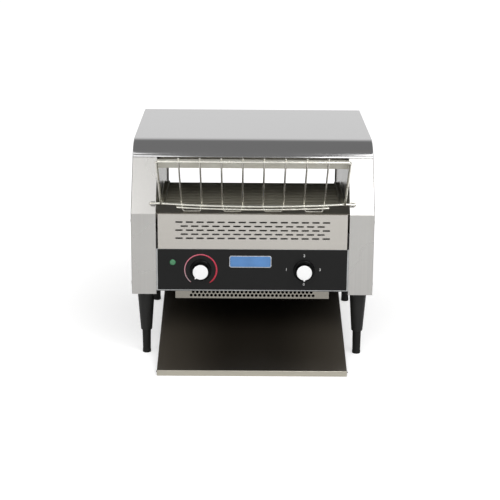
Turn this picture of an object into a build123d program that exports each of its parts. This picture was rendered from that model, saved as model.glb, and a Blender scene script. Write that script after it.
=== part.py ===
from build123d import *
from math import cos, hypot, pi, radians, sin, tan
import os

# Conveyor toaster, millimetres. +X is the machine's right seen from the front, +Y its back, +Z up.
# Distances named ..._BACK are measured backwards from the front plane of the two columns.
# The origin is the centre of the whole machine's footprint, at floor level.

# ---------------------------------------------------------------- housing
WIDTH = 470.0
DEPTH = 423.0
COLUMN_WIDTH = 48.0
BOTTOM_Z = 132.0          # underside of the side covers
BAY_HEIGHT = 92.0         # electrics bay, from there to the grille panel
GRILLE_HEIGHT = 69.5      # up to the crease, above which the columns lean back
HEAD_HEIGHT = 125.5       # from the crease to the top
SEAM_BACK = 67.6          # seam between the covers and the hood
HOOD_DROP = 29.1          # seam below the top
HOOD_RADIUS = 56.0
SHEET = 1.2
EDGE_RADIUS = 2.2         # outside radius of the folded cover edges
FIT = 0.2                 # gap between folded sheets that are screwed together
FLANGE = 12.0             # depth of the small folded flanges
BASE_RISE = 6.2           # the base pan sits this much above the cover's underside
PAN_WALL = 15.0
REAR_OPENING_DROP = 57.5  # its lower edge below the crease
REAR_OPENING_HEIGHT = 104.0
JAMB = 3.0                # flanges beside the rear opening

# ---------------------------------------------------------------- front panels
PANEL_BACK = 0.8          # front face of the steel panels, behind the fascia's front
GRILLE_SIDE_GAP = 4.0
SLOT_LENGTH = 14.5
SLOT_HEIGHT = 3.0
SLOT_PITCH = 20.3
SLOT_ROW_PITCH = 8.05
SLOT_ROWS = 5
SLOT_COUNT = 15
SLOT_CENTRE_UP = 37.5     # middle row above the panel's lower edge
SHELF_START_BACK = 3.0
SHELF_END_BACK = 70.0
SHELF_FLANGE = 10.0
FASCIA_SIDE_GAP = 3.0
FASCIA_LOW_GAP = 9.4      # above the covers' underside
FASCIA_HIGH_GAP = 0.6     # below the grille panel

# ---------------------------------------------------------------- air inlet under the base
INLET_SIDE_GAP = 37.0
INLET_DEPTH = 110.0
INLET_DROP = 8.6          # below the covers' underside
INLET_HOLE_RADIUS = 2.9
INLET_HOLE_PITCH = 7.95
INLET_ROW_PITCH = 6.8
INLET_HOLES = 31
INLET_FIRST_ROW_UP = 6.1

# ---------------------------------------------------------------- conveyor
BELT_TEETH = 12
BELT_PITCH = 12.7
BELT_SPAN_LINKS = 15
BELT_SHAFT_BACK = 273.5   # drive shaft, at the rear
SHAFT_DROP = 29.5         # shaft centres below the crease
CHAIN_INSET = 7.5         # chain centre from the inner wall
CHAIN_GAP = 6.0           # between the inner link plates
LINK_SHEET = 1.2
LINK_PLAY = 0.1
LINK_RADIUS = 5.2
ROLLER_RADIUS = 3.9
PIN_RADIUS = 1.9
BELT_ROD_RADIUS = 1.6
SEAT_PLAY = 0.1
TOOTH_RISE = 3.4          # tooth tip above the pitch circle
TOOTH_FLARE = 2.3         # how much a tooth gap widens outwards
SPROCKET_THICK = 5.0
HUB_RADIUS = 12.0
HUB_LENGTH = 8.0
SHAFT_RADIUS = 6.0
SHAFT_OVERHANG = 9.0      # shaft end beyond the inner wall
RUNNING_PLAY = 0.05       # radial clearance of a shaft in its bush
BUSH_RADIUS = 9.0
BUSH_FLANGE_RADIUS = 12.0
BUSH_FLANGE = 2.5

# ---------------------------------------------------------------- drive
DRIVE_TEETH = 12
DRIVE_PITCH = 9.525
DRIVE_SPAN_LINKS = 12
DRIVE_ANGLE = 50.0        # the drive chain drops forwards at this angle
DRIVE_X_GAP = 14.0        # drive chain centre beyond the inner wall
DRIVE_CHAIN_GAP = 5.0
DRIVE_SPROCKET_THICK = 4.2
DRIVE_ROLLER_RADIUS = 2.6
DRIVE_PIN_RADIUS = 1.4
DRIVE_LINK_RADIUS = 4.0
DRIVE_TOOTH_RISE = 2.4
GEARBOX_WIDTH = 44.0
GEARBOX_SIDE = 58.0
MOTOR_LENGTH = 62.0
MOTOR_RADIUS = 27.0
MOTOR_SHAFT_RADIUS = 5.0
MOTOR_SHAFT_IN = 20.0

# ---------------------------------------------------------------- heaters and hot zone
HEATER_RADIUS = 4.0
HEATER_END = 14.0         # bare end beyond the inner wall
UPPER_HEATERS = 6
UPPER_HEATER_PITCH = 42.0
UPPER_HEATER_UP = 8.0     # above the lower edge of their box
LOWER_HEATERS = 4
LOWER_HEATER_PITCH = 34.0
LOWER_HEATER_DROP = 2.0   # below the crossing of the shaft centres
INSULATOR_RADIUS = 7.0
INSULATOR_HEAD = 9.0
INSULATOR_HEAD_LENGTH = 8.0
BOX_FRONT_BACK = 80.0
BOX_LENGTH = 265.0
BOX_TOP_DROP = 35.0       # below the hood's top
BOX_HEIGHT = 18.0
BLANKET_THICK = 16.0
BLANKET_MARGIN = 6.0
REFLECTOR_DROP = 11.5     # lower reflector below the shaft centres
SHIELD_DROP = 8.0         # heat shield below the grille panel
DROP_GAP = 1.8            # from the belt to the front edge of the toast drop
CHUTE_BEND_UP = 40.0      # above the covers' underside
CHUTE_RADIUS = 55.0
CHUTE_MARGIN = 1.5
CHUTE_GAP = 3.0           # chute edge above the tray
CHUTE_END_BACK = 335.0

# ---------------------------------------------------------------- tray
TRAY_SIDE_GAP = 5.0
TRAY_SHEET = 1.5
TRAY_FRONT = 98.5         # reach in front of the columns
TRAY_END_BACK = 340.0
TRAY_LIP_TOP = 11.0
TRAY_LIP_BOTTOM = 0.5
TRAY_ANGLE = 13.93        # degrees above level
TRAY_BEND = 2.5
TRAY_HEM = 5.0
TRAY_HEM_END_BACK = 290.0
HANGER_BACK = 318.0
HANGER_ROD_RADIUS = 3.0
HANGER_SHEET = 1.5
HANGER_PLAY = 1.2
HANGER_START_BACK = 285.0
SEAT_GAP = 0.3            # a loose piece rests this far from what carries it

# ---------------------------------------------------------------- legs
LEG_INSET = 25.5          # from the cover's side
LEG_FRONT_BACK = 33.6
LEG_REAR_INSET = 58.9     # from the back
LEG_TOP_RADIUS = 17.0
LEG_COLLAR = 13.0
LEG_COLLAR_RADIUS = 16.2
LEG_TIP_RADIUS = 11.2
LEG_TIP_Z = 48.5
FOOT_RADIUS = 8.5
FOOT_TIP_RADIUS = 7.8
FOOT_NECK = 6.0           # height of the slightly wider rubber end
FOOT_END_RADIUS = 8.3
FOOT_EDGE = 1.0           # chamfers of the rubber end
FOOT_LAP = 3.5            # foot's shoulder inside the leg
FOOT_PLAY = 0.35
STUD_RADIUS = 5.0
STUD_TOP_DROP = 28.0      # stud's top below the covers' underside
FOOT_TRAVEL_IN = 25.0
LEG_BORE_MARGIN = 1.5
LEG_BOLT_RADIUS = 4.0
LEG_BOLT_HEAD = 7.5
LEG_BOLT_LENGTH = 10.0

# ---------------------------------------------------------------- feed rack
RACK_SIDE_GAP = 10.0
RACK_LENGTH = 160.5
RACK_SLOPE = 42.8
RACK_ROD_RADIUS = 2.25
RACK_BEND = 3.5           # bend of the frame rod at its corners
RACK_CROSS_RADIUS = 2.1   # bowed rod between the lower corners
RACK_END_GAP = 0.05       # its ends stop this short of the frame rod
RACK_WIRE_RADIUS = 1.7
RACK_PIN_UP = 21.0        # pin height along the slanted column face, from the crease
RACK_PIN_GAP = 0.3
RACK_PIN_REACH = 12.0     # pin overlap on the column face
RACK_BOW = 5.3            # the cross rods sag this much in the middle
RACK_WIRE_MARGIN = 39.45  # outermost wires from the frame rod
RACK_WIRES = 8
RACK_TIP = 5.5            # wire ends beyond the top rod
RACK_FOOT_TAPER = 3.5
RACK_FOOT_BEND = 3.0
RACK_LOW_ROD_MARGIN = 30.0
RACK_LOW_ROD_UP = 4.0     # lower cross rod above the wire feet
WELD = 0.35               # sinking of welded wires into each other
CLIP_WIDTH = 8.0
CLIP_SHEET = 1.2
CLIP_HEIGHT = 5.2

# ---------------------------------------------------------------- controls
KNOB_INSET = 83.5         # from the fascia's side
KNOB_DROP = 41.9          # from the fascia's upper edge
KNOB_STANDOFF = 0.5
KNOB_SKIRT_RADIUS = 21.0
KNOB_SKIRT = 3.5
KNOB_RADIUS = 17.0
KNOB_TOP_RADIUS = 16.0
KNOB_HEIGHT = 15.5
KNOB_FLUTES = 20
KNOB_FLUTE_RADIUS = 1.3
CAP_RADIUS = 14.8
CAP_RECESS = 1.0
CAP_DOME = 0.8
SPINDLE_RADIUS = 3.0
SPINDLE_IN = 14.0
SPINDLE_KNOB_DEPTH = 11.0
SPINDLE_HOLE_RADIUS = 5.0
CONTROL_SIDE = 34.0
CONTROL_DEPTH = 24.0
LAMP_INSET = 29.4         # from the fascia's left side
LAMP_DROP = 26.4
LAMP_RADIUS = 5.7
LAMP_DOME = 2.2
LAMP_BODY_RADIUS = 4.4
LAMP_BODY_LENGTH = 22.0
HOLE_PLAY = 0.1

# ---------------------------------------------------------------- fan and electrics
FAN_X = -40.0
FAN_BACK = 60.0
FAN_SIDE = 92.0
FAN_THICK = 25.0
FAN_BORE = 43.0
FAN_BOSS = 18.0
FAN_BOSS_THICK = 5.0
FAN_SPOKE = 4.0
FAN_HUB = 20.0
FAN_BLADES = 7
FAN_BLADE_TIP_GAP = 2.0
FAN_BLADE_SHEET = 2.0
FAN_BLADE_PITCH = 35.0
FAN_AXLE_RADIUS = 2.0
FAN_GAP = 1.0
TERMINAL_INSET = 37.0     # its middle from the left inner wall
TERMINAL_BACK = 230.0
TERMINAL_SIZE = (50.0, 26.0, 22.0)
RELAY_X = 20.0
RELAY_BACK = 240.0
RELAY_SIZE = (44.0, 48.0, 40.0)
SCREW_WELLS = 5
GLAND_UP = 36.0           # above the covers' underside
GLAND_BORE = 4.0
GLAND_RADIUS = 8.0
GLAND_NUT = 11.0
GLAND_NUT_THICK = 5.0
GLAND_NOSE = 11.0
GLAND_INSIDE = 12.0

# ---------------------------------------------------------------- screws and side vents
SCREW_RADIUS = 1.9
SCREW_HEAD_RADIUS = 3.8
SCREW_HEAD = 1.9
SCREW_LENGTH = 7.0
SCREW_HOLE_PLAY = 0.15
SCREW_MARGIN = 18.0
VENT_UP = 28.0            # lowest row above the cover's underside
VENT_ROWS = 4
VENT_ROW_PITCH = 9.0
VENT_COUNT = 9
VENT_PITCH = 24.0
VENT_LENGTH = 16.0

# ---------------------------------------------------------------- places worked out from the sizes
INNER_X = WIDTH / 2 - COLUMN_WIDTH
GRILLE_BOTTOM_Z = BOTTOM_Z + BAY_HEIGHT
CREASE_Z = GRILLE_BOTTOM_Z + GRILLE_HEIGHT
TOP_Z = CREASE_Z + HEAD_HEIGHT
SEAM_Z = TOP_Z - HOOD_DROP
REAR_OPENING_LOW = CREASE_Z - REAR_OPENING_DROP
REAR_OPENING_HIGH = REAR_OPENING_LOW + REAR_OPENING_HEIGHT
SLANT = hypot(SEAM_BACK, SEAM_Z - CREASE_Z)
LEAN_BACK = SEAM_BACK / SLANT
LEAN_UP = (SEAM_Z - CREASE_Z) / SLANT
BASE_Z = BOTTOM_Z + BASE_RISE
BASE_TOP_Z = BASE_Z + SHEET
SHELF_TOP_Z = CREASE_Z + SHEET
GRILLE_WIDTH = 2 * (INNER_X - GRILLE_SIDE_GAP)
FASCIA_WIDTH = 2 * (INNER_X - FASCIA_SIDE_GAP)
FASCIA_LOW_Z = BOTTOM_Z + FASCIA_LOW_GAP
FASCIA_HIGH_Z = GRILLE_BOTTOM_Z - FASCIA_HIGH_GAP
INLET_WIDTH = 2 * (INNER_X - INLET_SIDE_GAP)
INLET_LOW_Z = BOTTOM_Z - INLET_DROP
BELT_SHAFT_Z = CREASE_Z - SHAFT_DROP
CHAIN_X = INNER_X - CHAIN_INSET
BELT_RADIUS = BELT_PITCH / 2 / sin(pi / BELT_TEETH)
IDLER_BACK = BELT_SHAFT_BACK - BELT_SPAN_LINKS * BELT_PITCH
CHAIN_HALF = CHAIN_GAP / 2 + 2 * LINK_SHEET + LINK_PLAY
DRIVE_X = INNER_X + SHEET + DRIVE_X_GAP
DRIVE_SPAN = DRIVE_SPAN_LINKS * DRIVE_PITCH
MOTOR_BACK = BELT_SHAFT_BACK - DRIVE_SPAN * cos(radians(DRIVE_ANGLE))
MOTOR_Z = BELT_SHAFT_Z - DRIVE_SPAN * sin(radians(DRIVE_ANGLE))
BOX_HIGH_Z = TOP_Z - BOX_TOP_DROP
BOX_LOW_Z = BOX_HIGH_Z - BOX_HEIGHT
UPPER_HEATER_Z = BOX_LOW_Z + UPPER_HEATER_UP
SHIELD_Z = GRILLE_BOTTOM_Z - SHIELD_DROP
DROP_BACK = BELT_SHAFT_BACK + BELT_RADIUS + LINK_RADIUS + DROP_GAP
TRAY_WIDTH = 2 * (INNER_X - TRAY_SIDE_GAP)
TRAY_SLOPE = tan(radians(TRAY_ANGLE))
TRAY_LEAN = hypot(1, TRAY_SLOPE)
LEG_X = WIDTH / 2 - LEG_INSET
LEG_REAR_BACK = DEPTH - LEG_REAR_INSET
FOOT_TOP_Z = LEG_TIP_Z + FOOT_LAP
STUD_TOP_Z = BOTTOM_Z - STUD_TOP_DROP
RACK_WIDTH = 2 * (INNER_X - RACK_SIDE_GAP)
RACK_LOW_ROD_HALF = RACK_WIDTH / 2 - RACK_LOW_ROD_MARGIN
RACK_WIRE_PITCH = (RACK_WIDTH - 2 * RACK_WIRE_MARGIN) / (RACK_WIRES - 1)
RACK_UP = sin(radians(RACK_SLOPE))
RACK_OUT = cos(radians(RACK_SLOPE))
RACK_STANDOFF = RACK_ROD_RADIUS + RACK_PIN_GAP
RACK_LOW_BACK = RACK_PIN_UP * LEAN_BACK - RACK_STANDOFF * LEAN_UP
RACK_LOW_Z = CREASE_Z + RACK_PIN_UP * LEAN_UP + RACK_STANDOFF * LEAN_BACK
RACK_TOP_BACK = RACK_LOW_BACK - RACK_LENGTH * RACK_OUT
RACK_TOP_Z = RACK_LOW_Z + RACK_LENGTH * RACK_UP
WIRE_LIFT = RACK_ROD_RADIUS + RACK_WIRE_RADIUS - WELD
KNOB_X = FASCIA_WIDTH / 2 - KNOB_INSET
KNOB_Z = FASCIA_HIGH_Z - KNOB_DROP
KNOB_FRONT = KNOB_STANDOFF + KNOB_HEIGHT
LAMP_X = LAMP_INSET - FASCIA_WIDTH / 2
LAMP_Z = FASCIA_HIGH_Z - LAMP_DROP
TERMINAL_X = TERMINAL_INSET - INNER_X
GLAND_Z = BOTTOM_Z + GLAND_UP
FRONT_REACH = max(TRAY_FRONT + TRAY_SHEET / 2, RACK_ROD_RADIUS - RACK_TOP_BACK, KNOB_FRONT + CAP_DOME)
REAR_REACH = DEPTH + GLAND_NUT_THICK + GLAND_NOSE
FRONT_Y = (FRONT_REACH - REAR_REACH) / 2

FROM_START = (Align.CENTER, Align.CENTER, Align.MIN)

os.makedirs("parts", exist_ok=True)


# ================================================================ helpers
def save(name, *pieces):
    """Write one node; several pieces stay separate solids."""
    solids = [solid for piece in pieces for solid in piece.solids()]
    export_step(solids[0] if len(solids) == 1 else Compound(children=solids), f"parts/{name}.step")


def y_at(back):
    """Y of a place measured backwards from the columns' front plane."""
    return FRONT_Y + back


def block(x0, x1, back0, back1, z0, z1):
    """Box between two corners, with Y given as distance back."""
    size = Box(x1 - x0, back1 - back0, z1 - z0, align=Align.MIN)
    return Pos(x0, y_at(back0), z0) * size


def rod_x(x0, x1, back, z, radius):
    """Round bar along X."""
    return Pos(x0, y_at(back), z) * Rot(0, 90, 0) * Cylinder(radius, x1 - x0, align=FROM_START)


def rod_y(x, back0, back1, z, radius):
    """Round bar along Y."""
    bar = Cylinder(radius, back1 - back0, align=FROM_START)
    return Pos(x, y_at(back0), z) * Rot(-90, 0, 0) * bar


def rod_z(x, back, z0, z1, radius):
    """Round bar along Z."""
    return Pos(x, y_at(back), z0) * Cylinder(radius, z1 - z0, align=FROM_START)


def side_face(outline):
    """Face with a side-view outline, given as (distance back, height) points."""
    return Polygon(*[(y_at(back), z) for back, z in outline], align=None)


def round_front_top(face, radius):
    """Side-view face with its upper front corner rounded."""
    return fillet([face.vertices().sort_by(Axis.Y)[-2:].sort_by(Axis.X)[0]], radius)


def side_prism(face, x0, x1):
    """Prism of a side-view face between two X planes."""
    return extrude(Plane.YZ.offset(x0) * face, amount=x1 - x0, dir=(1, 0, 0))


def front_plate(sketch, back, thick):
    """Plate with a front-view (X, Z) outline whose front face is at the given distance back."""
    return extrude(Plane.XZ.offset(-y_at(back + thick)) * sketch, amount=thick, dir=(0, -1, 0))


def bent_sheet(points, radius, half_width, thick):
    """Sheet whose middle line runs through side-view points, with rounded bends."""
    path = FilletPolyline(*[(0, y_at(back), z) for back, z in points], radius=radius)
    section = Plane(origin=path @ 0, x_dir=(1, 0, 0), z_dir=path % 0) * Rectangle(2 * half_width, thick)
    return sweep(section, path=path)


def wire(points, bend, radius):
    """Round wire through points given as (X, distance back, Z)."""
    places = [(x, y_at(back), z) for x, back, z in points]
    path = FilletPolyline(*places, radius=bend) if len(places) > 2 else Line(*places)
    return sweep(Plane(origin=path @ 0, z_dir=path % 0) * Circle(radius), path=path)


def mirrored(shape):
    """The same piece on the machine's left."""
    return mirror(shape, about=Plane.YZ)


def both_sides(shape):
    """A piece and its mirror image."""
    return [shape, mirrored(shape)]


# ================================================================ covers
def front_back_at(z, inset):
    """Distance back of the leaning front at a height, for a profile inset by a wall."""
    along = (z - CREASE_Z + inset * LEAN_BACK) / LEAN_UP
    return inset * LEAN_UP + along * LEAN_BACK


def front_line(inset, low_z, high_z):
    """Side-view points up the front of the housing, inset by a wall."""
    crease_along = (inset - inset * LEAN_UP) / LEAN_BACK
    crease_z = CREASE_Z - inset * LEAN_BACK + crease_along * LEAN_UP
    return [(inset, low_z), (inset, crease_z), (front_back_at(high_z, inset), high_z)]


def vent_slots(outer_x):
    """Cutters of the slots in a side cover, centred on its depth."""
    slot = SlotOverall(VENT_LENGTH, SLOT_HEIGHT)
    first = y_at(DEPTH / 2) - (VENT_COUNT - 1) / 2 * VENT_PITCH
    low = BOTTOM_Z + VENT_UP
    places = [
        Pos(first + column * VENT_PITCH, low + row * VENT_ROW_PITCH)
        for column in range(VENT_COUNT)
        for row in range(VENT_ROWS)
    ]
    sketch = Sketch() + [place * slot for place in places]
    return extrude(Plane.YZ.offset(outer_x - 2 * SHEET) * sketch, amount=3 * SHEET)


def cover_screw_places():
    """(distance back, height) of the screws in a side cover."""
    low = BOTTOM_Z + SCREW_MARGIN
    return [
        (SCREW_MARGIN, low),
        (DEPTH - SCREW_MARGIN, low),
        (SCREW_MARGIN, CREASE_Z - SCREW_MARGIN),
        (DEPTH - SCREW_MARGIN, SEAM_Z - SCREW_MARGIN),
    ]


def folded_edges(prism, low_z, high_z):
    """Edges of a prism's outer face that are folds, not rims."""
    rims = (low_z, high_z)
    edges = prism.faces().sort_by(Axis.X)[-1].edges()
    return [edge for edge in edges if min(abs(edge.center().Z - rim) for rim in rims) > SHEET]


def side_cover():
    """Right cover: outer wall, column at the front, rear and bottom flanges; open inwards and upwards."""
    outer_x = WIDTH / 2
    outside = front_line(0, BOTTOM_Z, SEAM_Z) + [(DEPTH, SEAM_Z), (DEPTH, BOTTOM_Z)]
    shell = side_prism(side_face(outside), INNER_X, outer_x)
    shell = fillet(folded_edges(shell, BOTTOM_Z, SEAM_Z), EDGE_RADIUS)
    floor_z, over_z = BOTTOM_Z + SHEET, SEAM_Z + SHEET
    inside = front_line(SHEET, floor_z, over_z) + [(DEPTH - SHEET, over_z), (DEPTH - SHEET, floor_z)]
    cavity = side_prism(side_face(inside), INNER_X - SHEET, outer_x - SHEET)
    cavity = fillet(folded_edges(cavity, floor_z, over_z), EDGE_RADIUS - SHEET)
    cover = shell - cavity - vent_slots(outer_x)
    for back, z in cover_screw_places():
        cover -= rod_x(outer_x - 2 * SHEET, outer_x + SHEET, back, z, SCREW_RADIUS + SCREW_HOLE_PLAY)
    for back in (LEG_FRONT_BACK, LEG_REAR_BACK):
        cover -= rod_z(LEG_X, back, BOTTOM_Z - SHEET, floor_z + SHEET, LEG_BOLT_RADIUS + HOLE_PLAY)
    return cover


def gland_hole():
    """Hole for the cable gland in the left rear flange."""
    return rod_y(-LEG_X, DEPTH - 2 * SHEET, DEPTH + SHEET, GLAND_Z, GLAND_RADIUS + HOLE_PLAY)


def hood_face(inset, low_z):
    """Side view of the hood: lip, curved front edge, flat top, back."""
    top, back = TOP_Z - inset, DEPTH - inset
    lip, brow = front_back_at(low_z, inset), front_back_at(top, inset)
    outline = [(lip, low_z), (brow, top), (back, top), (back, low_z)]
    return round_front_top(side_face(outline), HOOD_RADIUS - inset)


def hood():
    """Top cover folded over the whole width."""
    shell = side_prism(hood_face(0, SEAM_Z), -WIDTH / 2, WIDTH / 2)
    for end in (0, -1):
        rim = shell.faces().sort_by(Axis.X)[end].edges()
        shell = fillet([edge for edge in rim if edge.center().Z > SEAM_Z + SHEET], EDGE_RADIUS)
    hollow = side_prism(hood_face(SHEET, SEAM_Z - SHEET), SHEET - WIDTH / 2, WIDTH / 2 - SHEET)
    for end in (0, -1):
        rim = hollow.faces().sort_by(Axis.X)[end].edges()
        hollow = fillet([edge for edge in rim if edge.center().Z > SEAM_Z + SHEET], EDGE_RADIUS - SHEET)
    return shell - hollow


def upper_heater_places():
    """(distance back, height) of the upper heaters, centred in their box."""
    middle = BOX_FRONT_BACK + BOX_LENGTH / 2
    first = middle - (UPPER_HEATERS - 1) / 2 * UPPER_HEATER_PITCH
    return [(first + i * UPPER_HEATER_PITCH, UPPER_HEATER_Z) for i in range(UPPER_HEATERS)]


def lower_heater_places():
    """(distance back, height) of the lower heaters, centred between the shafts."""
    middle = (BELT_SHAFT_BACK + IDLER_BACK) / 2
    first = middle - (LOWER_HEATERS - 1) / 2 * LOWER_HEATER_PITCH
    return [(first + i * LOWER_HEATER_PITCH, BELT_SHAFT_Z - LOWER_HEATER_DROP) for i in range(LOWER_HEATERS)]


def inner_wall():
    """Right inner wall of the hot zone, with the shaft and heater holes and a jamb at the rear opening."""
    inset = SHEET + FIT
    floor_z, top = BOTTOM_Z + SHEET, TOP_Z - SHEET
    outline = front_line(inset, floor_z, top) + [(DEPTH - SHEET, top), (DEPTH - SHEET, floor_z)]
    wall = side_prism(round_front_top(side_face(outline), HOOD_RADIUS), INNER_X, INNER_X + SHEET)
    for back in (BELT_SHAFT_BACK, IDLER_BACK):
        wall -= rod_x(INNER_X - SHEET, INNER_X + 2 * SHEET, back, BELT_SHAFT_Z, BUSH_RADIUS + HOLE_PLAY)
    for back, z in upper_heater_places() + lower_heater_places():
        wall -= rod_x(INNER_X - SHEET, INNER_X + 2 * SHEET, back, z, INSULATOR_RADIUS + HOLE_PLAY)
    end = DEPTH - SHEET
    low, high = REAR_OPENING_LOW + FIT, REAR_OPENING_HIGH - FIT
    return wall + block(INNER_X - JAMB, INNER_X, end - SHEET, end, low, high)


def motor_hole():
    """Hole for the motor shaft in the right inner wall."""
    return rod_x(INNER_X - SHEET, INNER_X + 2 * SHEET, MOTOR_BACK, MOTOR_Z, MOTOR_SHAFT_RADIUS + SHEET)


def base_pan():
    """Floor of the electrics bay: a channel between the inner walls, with the fan's intake."""
    front, z1 = PANEL_BACK + SHEET, BASE_Z + PAN_WALL
    pan = block(-INNER_X, INNER_X, front, DROP_BACK, BASE_Z, z1)
    pan -= block(SHEET - INNER_X, INNER_X - SHEET, front - SHEET, DROP_BACK + SHEET, BASE_TOP_Z, z1 + SHEET)
    return pan - rod_z(FAN_X, FAN_BACK, BASE_Z - SHEET, BASE_TOP_Z + SHEET, FAN_BORE)


def rear_panel(low_z, high_z, flange_z):
    """Flat rear panel with one flange folded forwards along the opening."""
    back = DEPTH - SHEET
    panel = block(-INNER_X, INNER_X, back, DEPTH, low_z, high_z)
    return panel + block(-INNER_X, INNER_X, back - FLANGE, back, flange_z, flange_z + SHEET)


# ================================================================ front panels
def grille():
    """Slotted steel panel under the feed opening, folded back along its top and bottom."""
    slot = SlotOverall(SLOT_LENGTH, SLOT_HEIGHT)
    holes = []
    for row in range(SLOT_ROWS):
        count = SLOT_COUNT - row % 2
        z = GRILLE_BOTTOM_Z + SLOT_CENTRE_UP + (row - (SLOT_ROWS - 1) / 2) * SLOT_ROW_PITCH
        holes += [Pos((i - (count - 1) / 2) * SLOT_PITCH, z) * slot for i in range(count)]
    middle = Pos(0, GRILLE_BOTTOM_Z + GRILLE_HEIGHT / 2)
    sheet = middle * Rectangle(GRILLE_WIDTH, GRILLE_HEIGHT) - (Sketch() + holes)
    half = GRILLE_WIDTH / 2
    folds_back = (PANEL_BACK + SHEET, PANEL_BACK + FLANGE)
    panel = front_plate(sheet, PANEL_BACK, SHEET)
    panel += block(-half, half, *folds_back, CREASE_Z - SHEET, CREASE_Z)
    return panel + block(-half, half, *folds_back, GRILLE_BOTTOM_Z, GRILLE_BOTTOM_Z + SHEET)


def feed_shelf():
    """Shelf between the grille panel and the belt, with ends folded down against the inner walls."""
    low = CREASE_Z - SHELF_FLANGE
    shelf = block(-INNER_X, INNER_X, SHELF_START_BACK, SHELF_END_BACK, CREASE_Z, SHELF_TOP_Z)
    start = PANEL_BACK + FLANGE + SHEET
    return shelf + both_sides(block(INNER_X - SHEET, INNER_X, start, SHELF_END_BACK, low, CREASE_Z))


def control_holes():
    """Front-view holes for the two spindles and the lamp."""
    knobs = [Pos(x, KNOB_Z) * Circle(SPINDLE_HOLE_RADIUS) for x in (-KNOB_X, KNOB_X)]
    return Sketch() + knobs + [Pos(LAMP_X, LAMP_Z) * Circle(LAMP_BODY_RADIUS + HOLE_PLAY)]


def control_panel():
    """Steel front of the electrics bay, standing on the base pan."""
    half = INNER_X - FIT
    height = GRILLE_BOTTOM_Z - BASE_TOP_Z
    sheet = Pos(0, BASE_TOP_Z + height / 2) * Rectangle(2 * half, height) - control_holes()
    folds_back = (PANEL_BACK + SHEET, PANEL_BACK + FLANGE)
    inner = half - SHEET - FIT
    panel = front_plate(sheet, PANEL_BACK, SHEET)
    panel += block(-inner, inner, *folds_back, BASE_TOP_Z, BASE_TOP_Z + SHEET)
    return panel + block(-inner, inner, *folds_back, GRILLE_BOTTOM_Z - SHEET, GRILLE_BOTTOM_Z)


def control_fascia():
    """Black plate over the control panel."""
    height = FASCIA_HIGH_Z - FASCIA_LOW_Z
    sheet = Pos(0, FASCIA_LOW_Z + height / 2) * Rectangle(FASCIA_WIDTH, height) - control_holes()
    return front_plate(sheet, 0, PANEL_BACK)


def air_inlet():
    """Shallow box under the base pan; its front is perforated in staggered rows."""
    half = INLET_WIDTH / 2
    front = PANEL_BACK + SHEET
    box = block(-half, half, front, front + INLET_DEPTH, INLET_LOW_Z, BASE_Z)
    inside = (SHEET - half, half - SHEET, front + SHEET, front + INLET_DEPTH - SHEET)
    box -= block(*inside, INLET_LOW_Z + SHEET, BASE_Z + SHEET)
    hole = Circle(INLET_HOLE_RADIUS)
    holes = []
    for row in range(2):
        count = INLET_HOLES - row
        z = INLET_LOW_Z + INLET_FIRST_ROW_UP + row * INLET_ROW_PITCH
        holes += [Pos((i - (count - 1) / 2) * INLET_HOLE_PITCH, z) * hole for i in range(count)]
    return box - front_plate(Sketch() + holes, front - SHEET, 3 * SHEET)


# ================================================================ conveyor
def sprocket_sketch(teeth, pitch, roller_radius, rise, bore):
    """Toothed wheel: round roller seats on the pitch circle, opening outwards."""
    radius = pitch / 2 / sin(pi / teeth)
    seat = roller_radius + SEAT_PLAY
    reach = radius + 2 * rise
    flare = seat * TOOTH_FLARE
    gap = Pos(radius, 0) * Circle(seat)
    gap += Polygon((radius, -seat), (reach, -flare), (reach, flare), (radius, seat), align=None)
    gaps = Sketch() + [Rot(0, 0, i * 360 / teeth) * gap for i in range(teeth)]
    return Circle(radius + rise) - gaps - Circle(bore)


def belt_sprocket(back):
    """Right belt sprocket with its hub towards the machine's middle."""
    bore = SHAFT_RADIUS + RUNNING_PLAY
    sketch = sprocket_sketch(BELT_TEETH, BELT_PITCH, ROLLER_RADIUS, TOOTH_RISE, bore)
    inner = CHAIN_X - SPROCKET_THICK / 2
    wheel = extrude(Plane.YZ.offset(inner) * Pos(y_at(back), BELT_SHAFT_Z) * sketch, amount=SPROCKET_THICK)
    hub = rod_x(inner - HUB_LENGTH, inner, back, BELT_SHAFT_Z, HUB_RADIUS)
    return wheel + (hub - rod_x(inner - HUB_LENGTH, inner, back, BELT_SHAFT_Z, bore))


def drive_wheel(back, z, bore):
    """Drive chain sprocket in the right side of the housing, turned into mesh with its chain."""
    sketch = sprocket_sketch(DRIVE_TEETH, DRIVE_PITCH, DRIVE_ROLLER_RADIUS, DRIVE_TOOTH_RISE, bore)
    turned = Pos(y_at(back), z) * Rot(0, 0, DRIVE_ANGLE) * sketch
    return extrude(Plane.YZ.offset(DRIVE_X - DRIVE_SPROCKET_THICK / 2) * turned, amount=DRIVE_SPROCKET_THICK)


def loop_pins(teeth, pitch, span_links):
    """Pin places of a chain round two equal wheels, the first at (0, 0), the second at (-span, 0)."""
    radius = pitch / 2 / sin(pi / teeth)
    half = teeth // 2
    span = span_links * pitch
    pins = [(-i * pitch, radius) for i in range(span_links)]
    turn = [pi / 2 + i * 2 * pi / teeth for i in range(half)]
    pins += [(-span + radius * cos(a), radius * sin(a)) for a in turn]
    pins += [(-span + i * pitch, -radius) for i in range(span_links)]
    return pins + [(-radius * cos(a), -radius * sin(a)) for a in turn]


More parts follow.
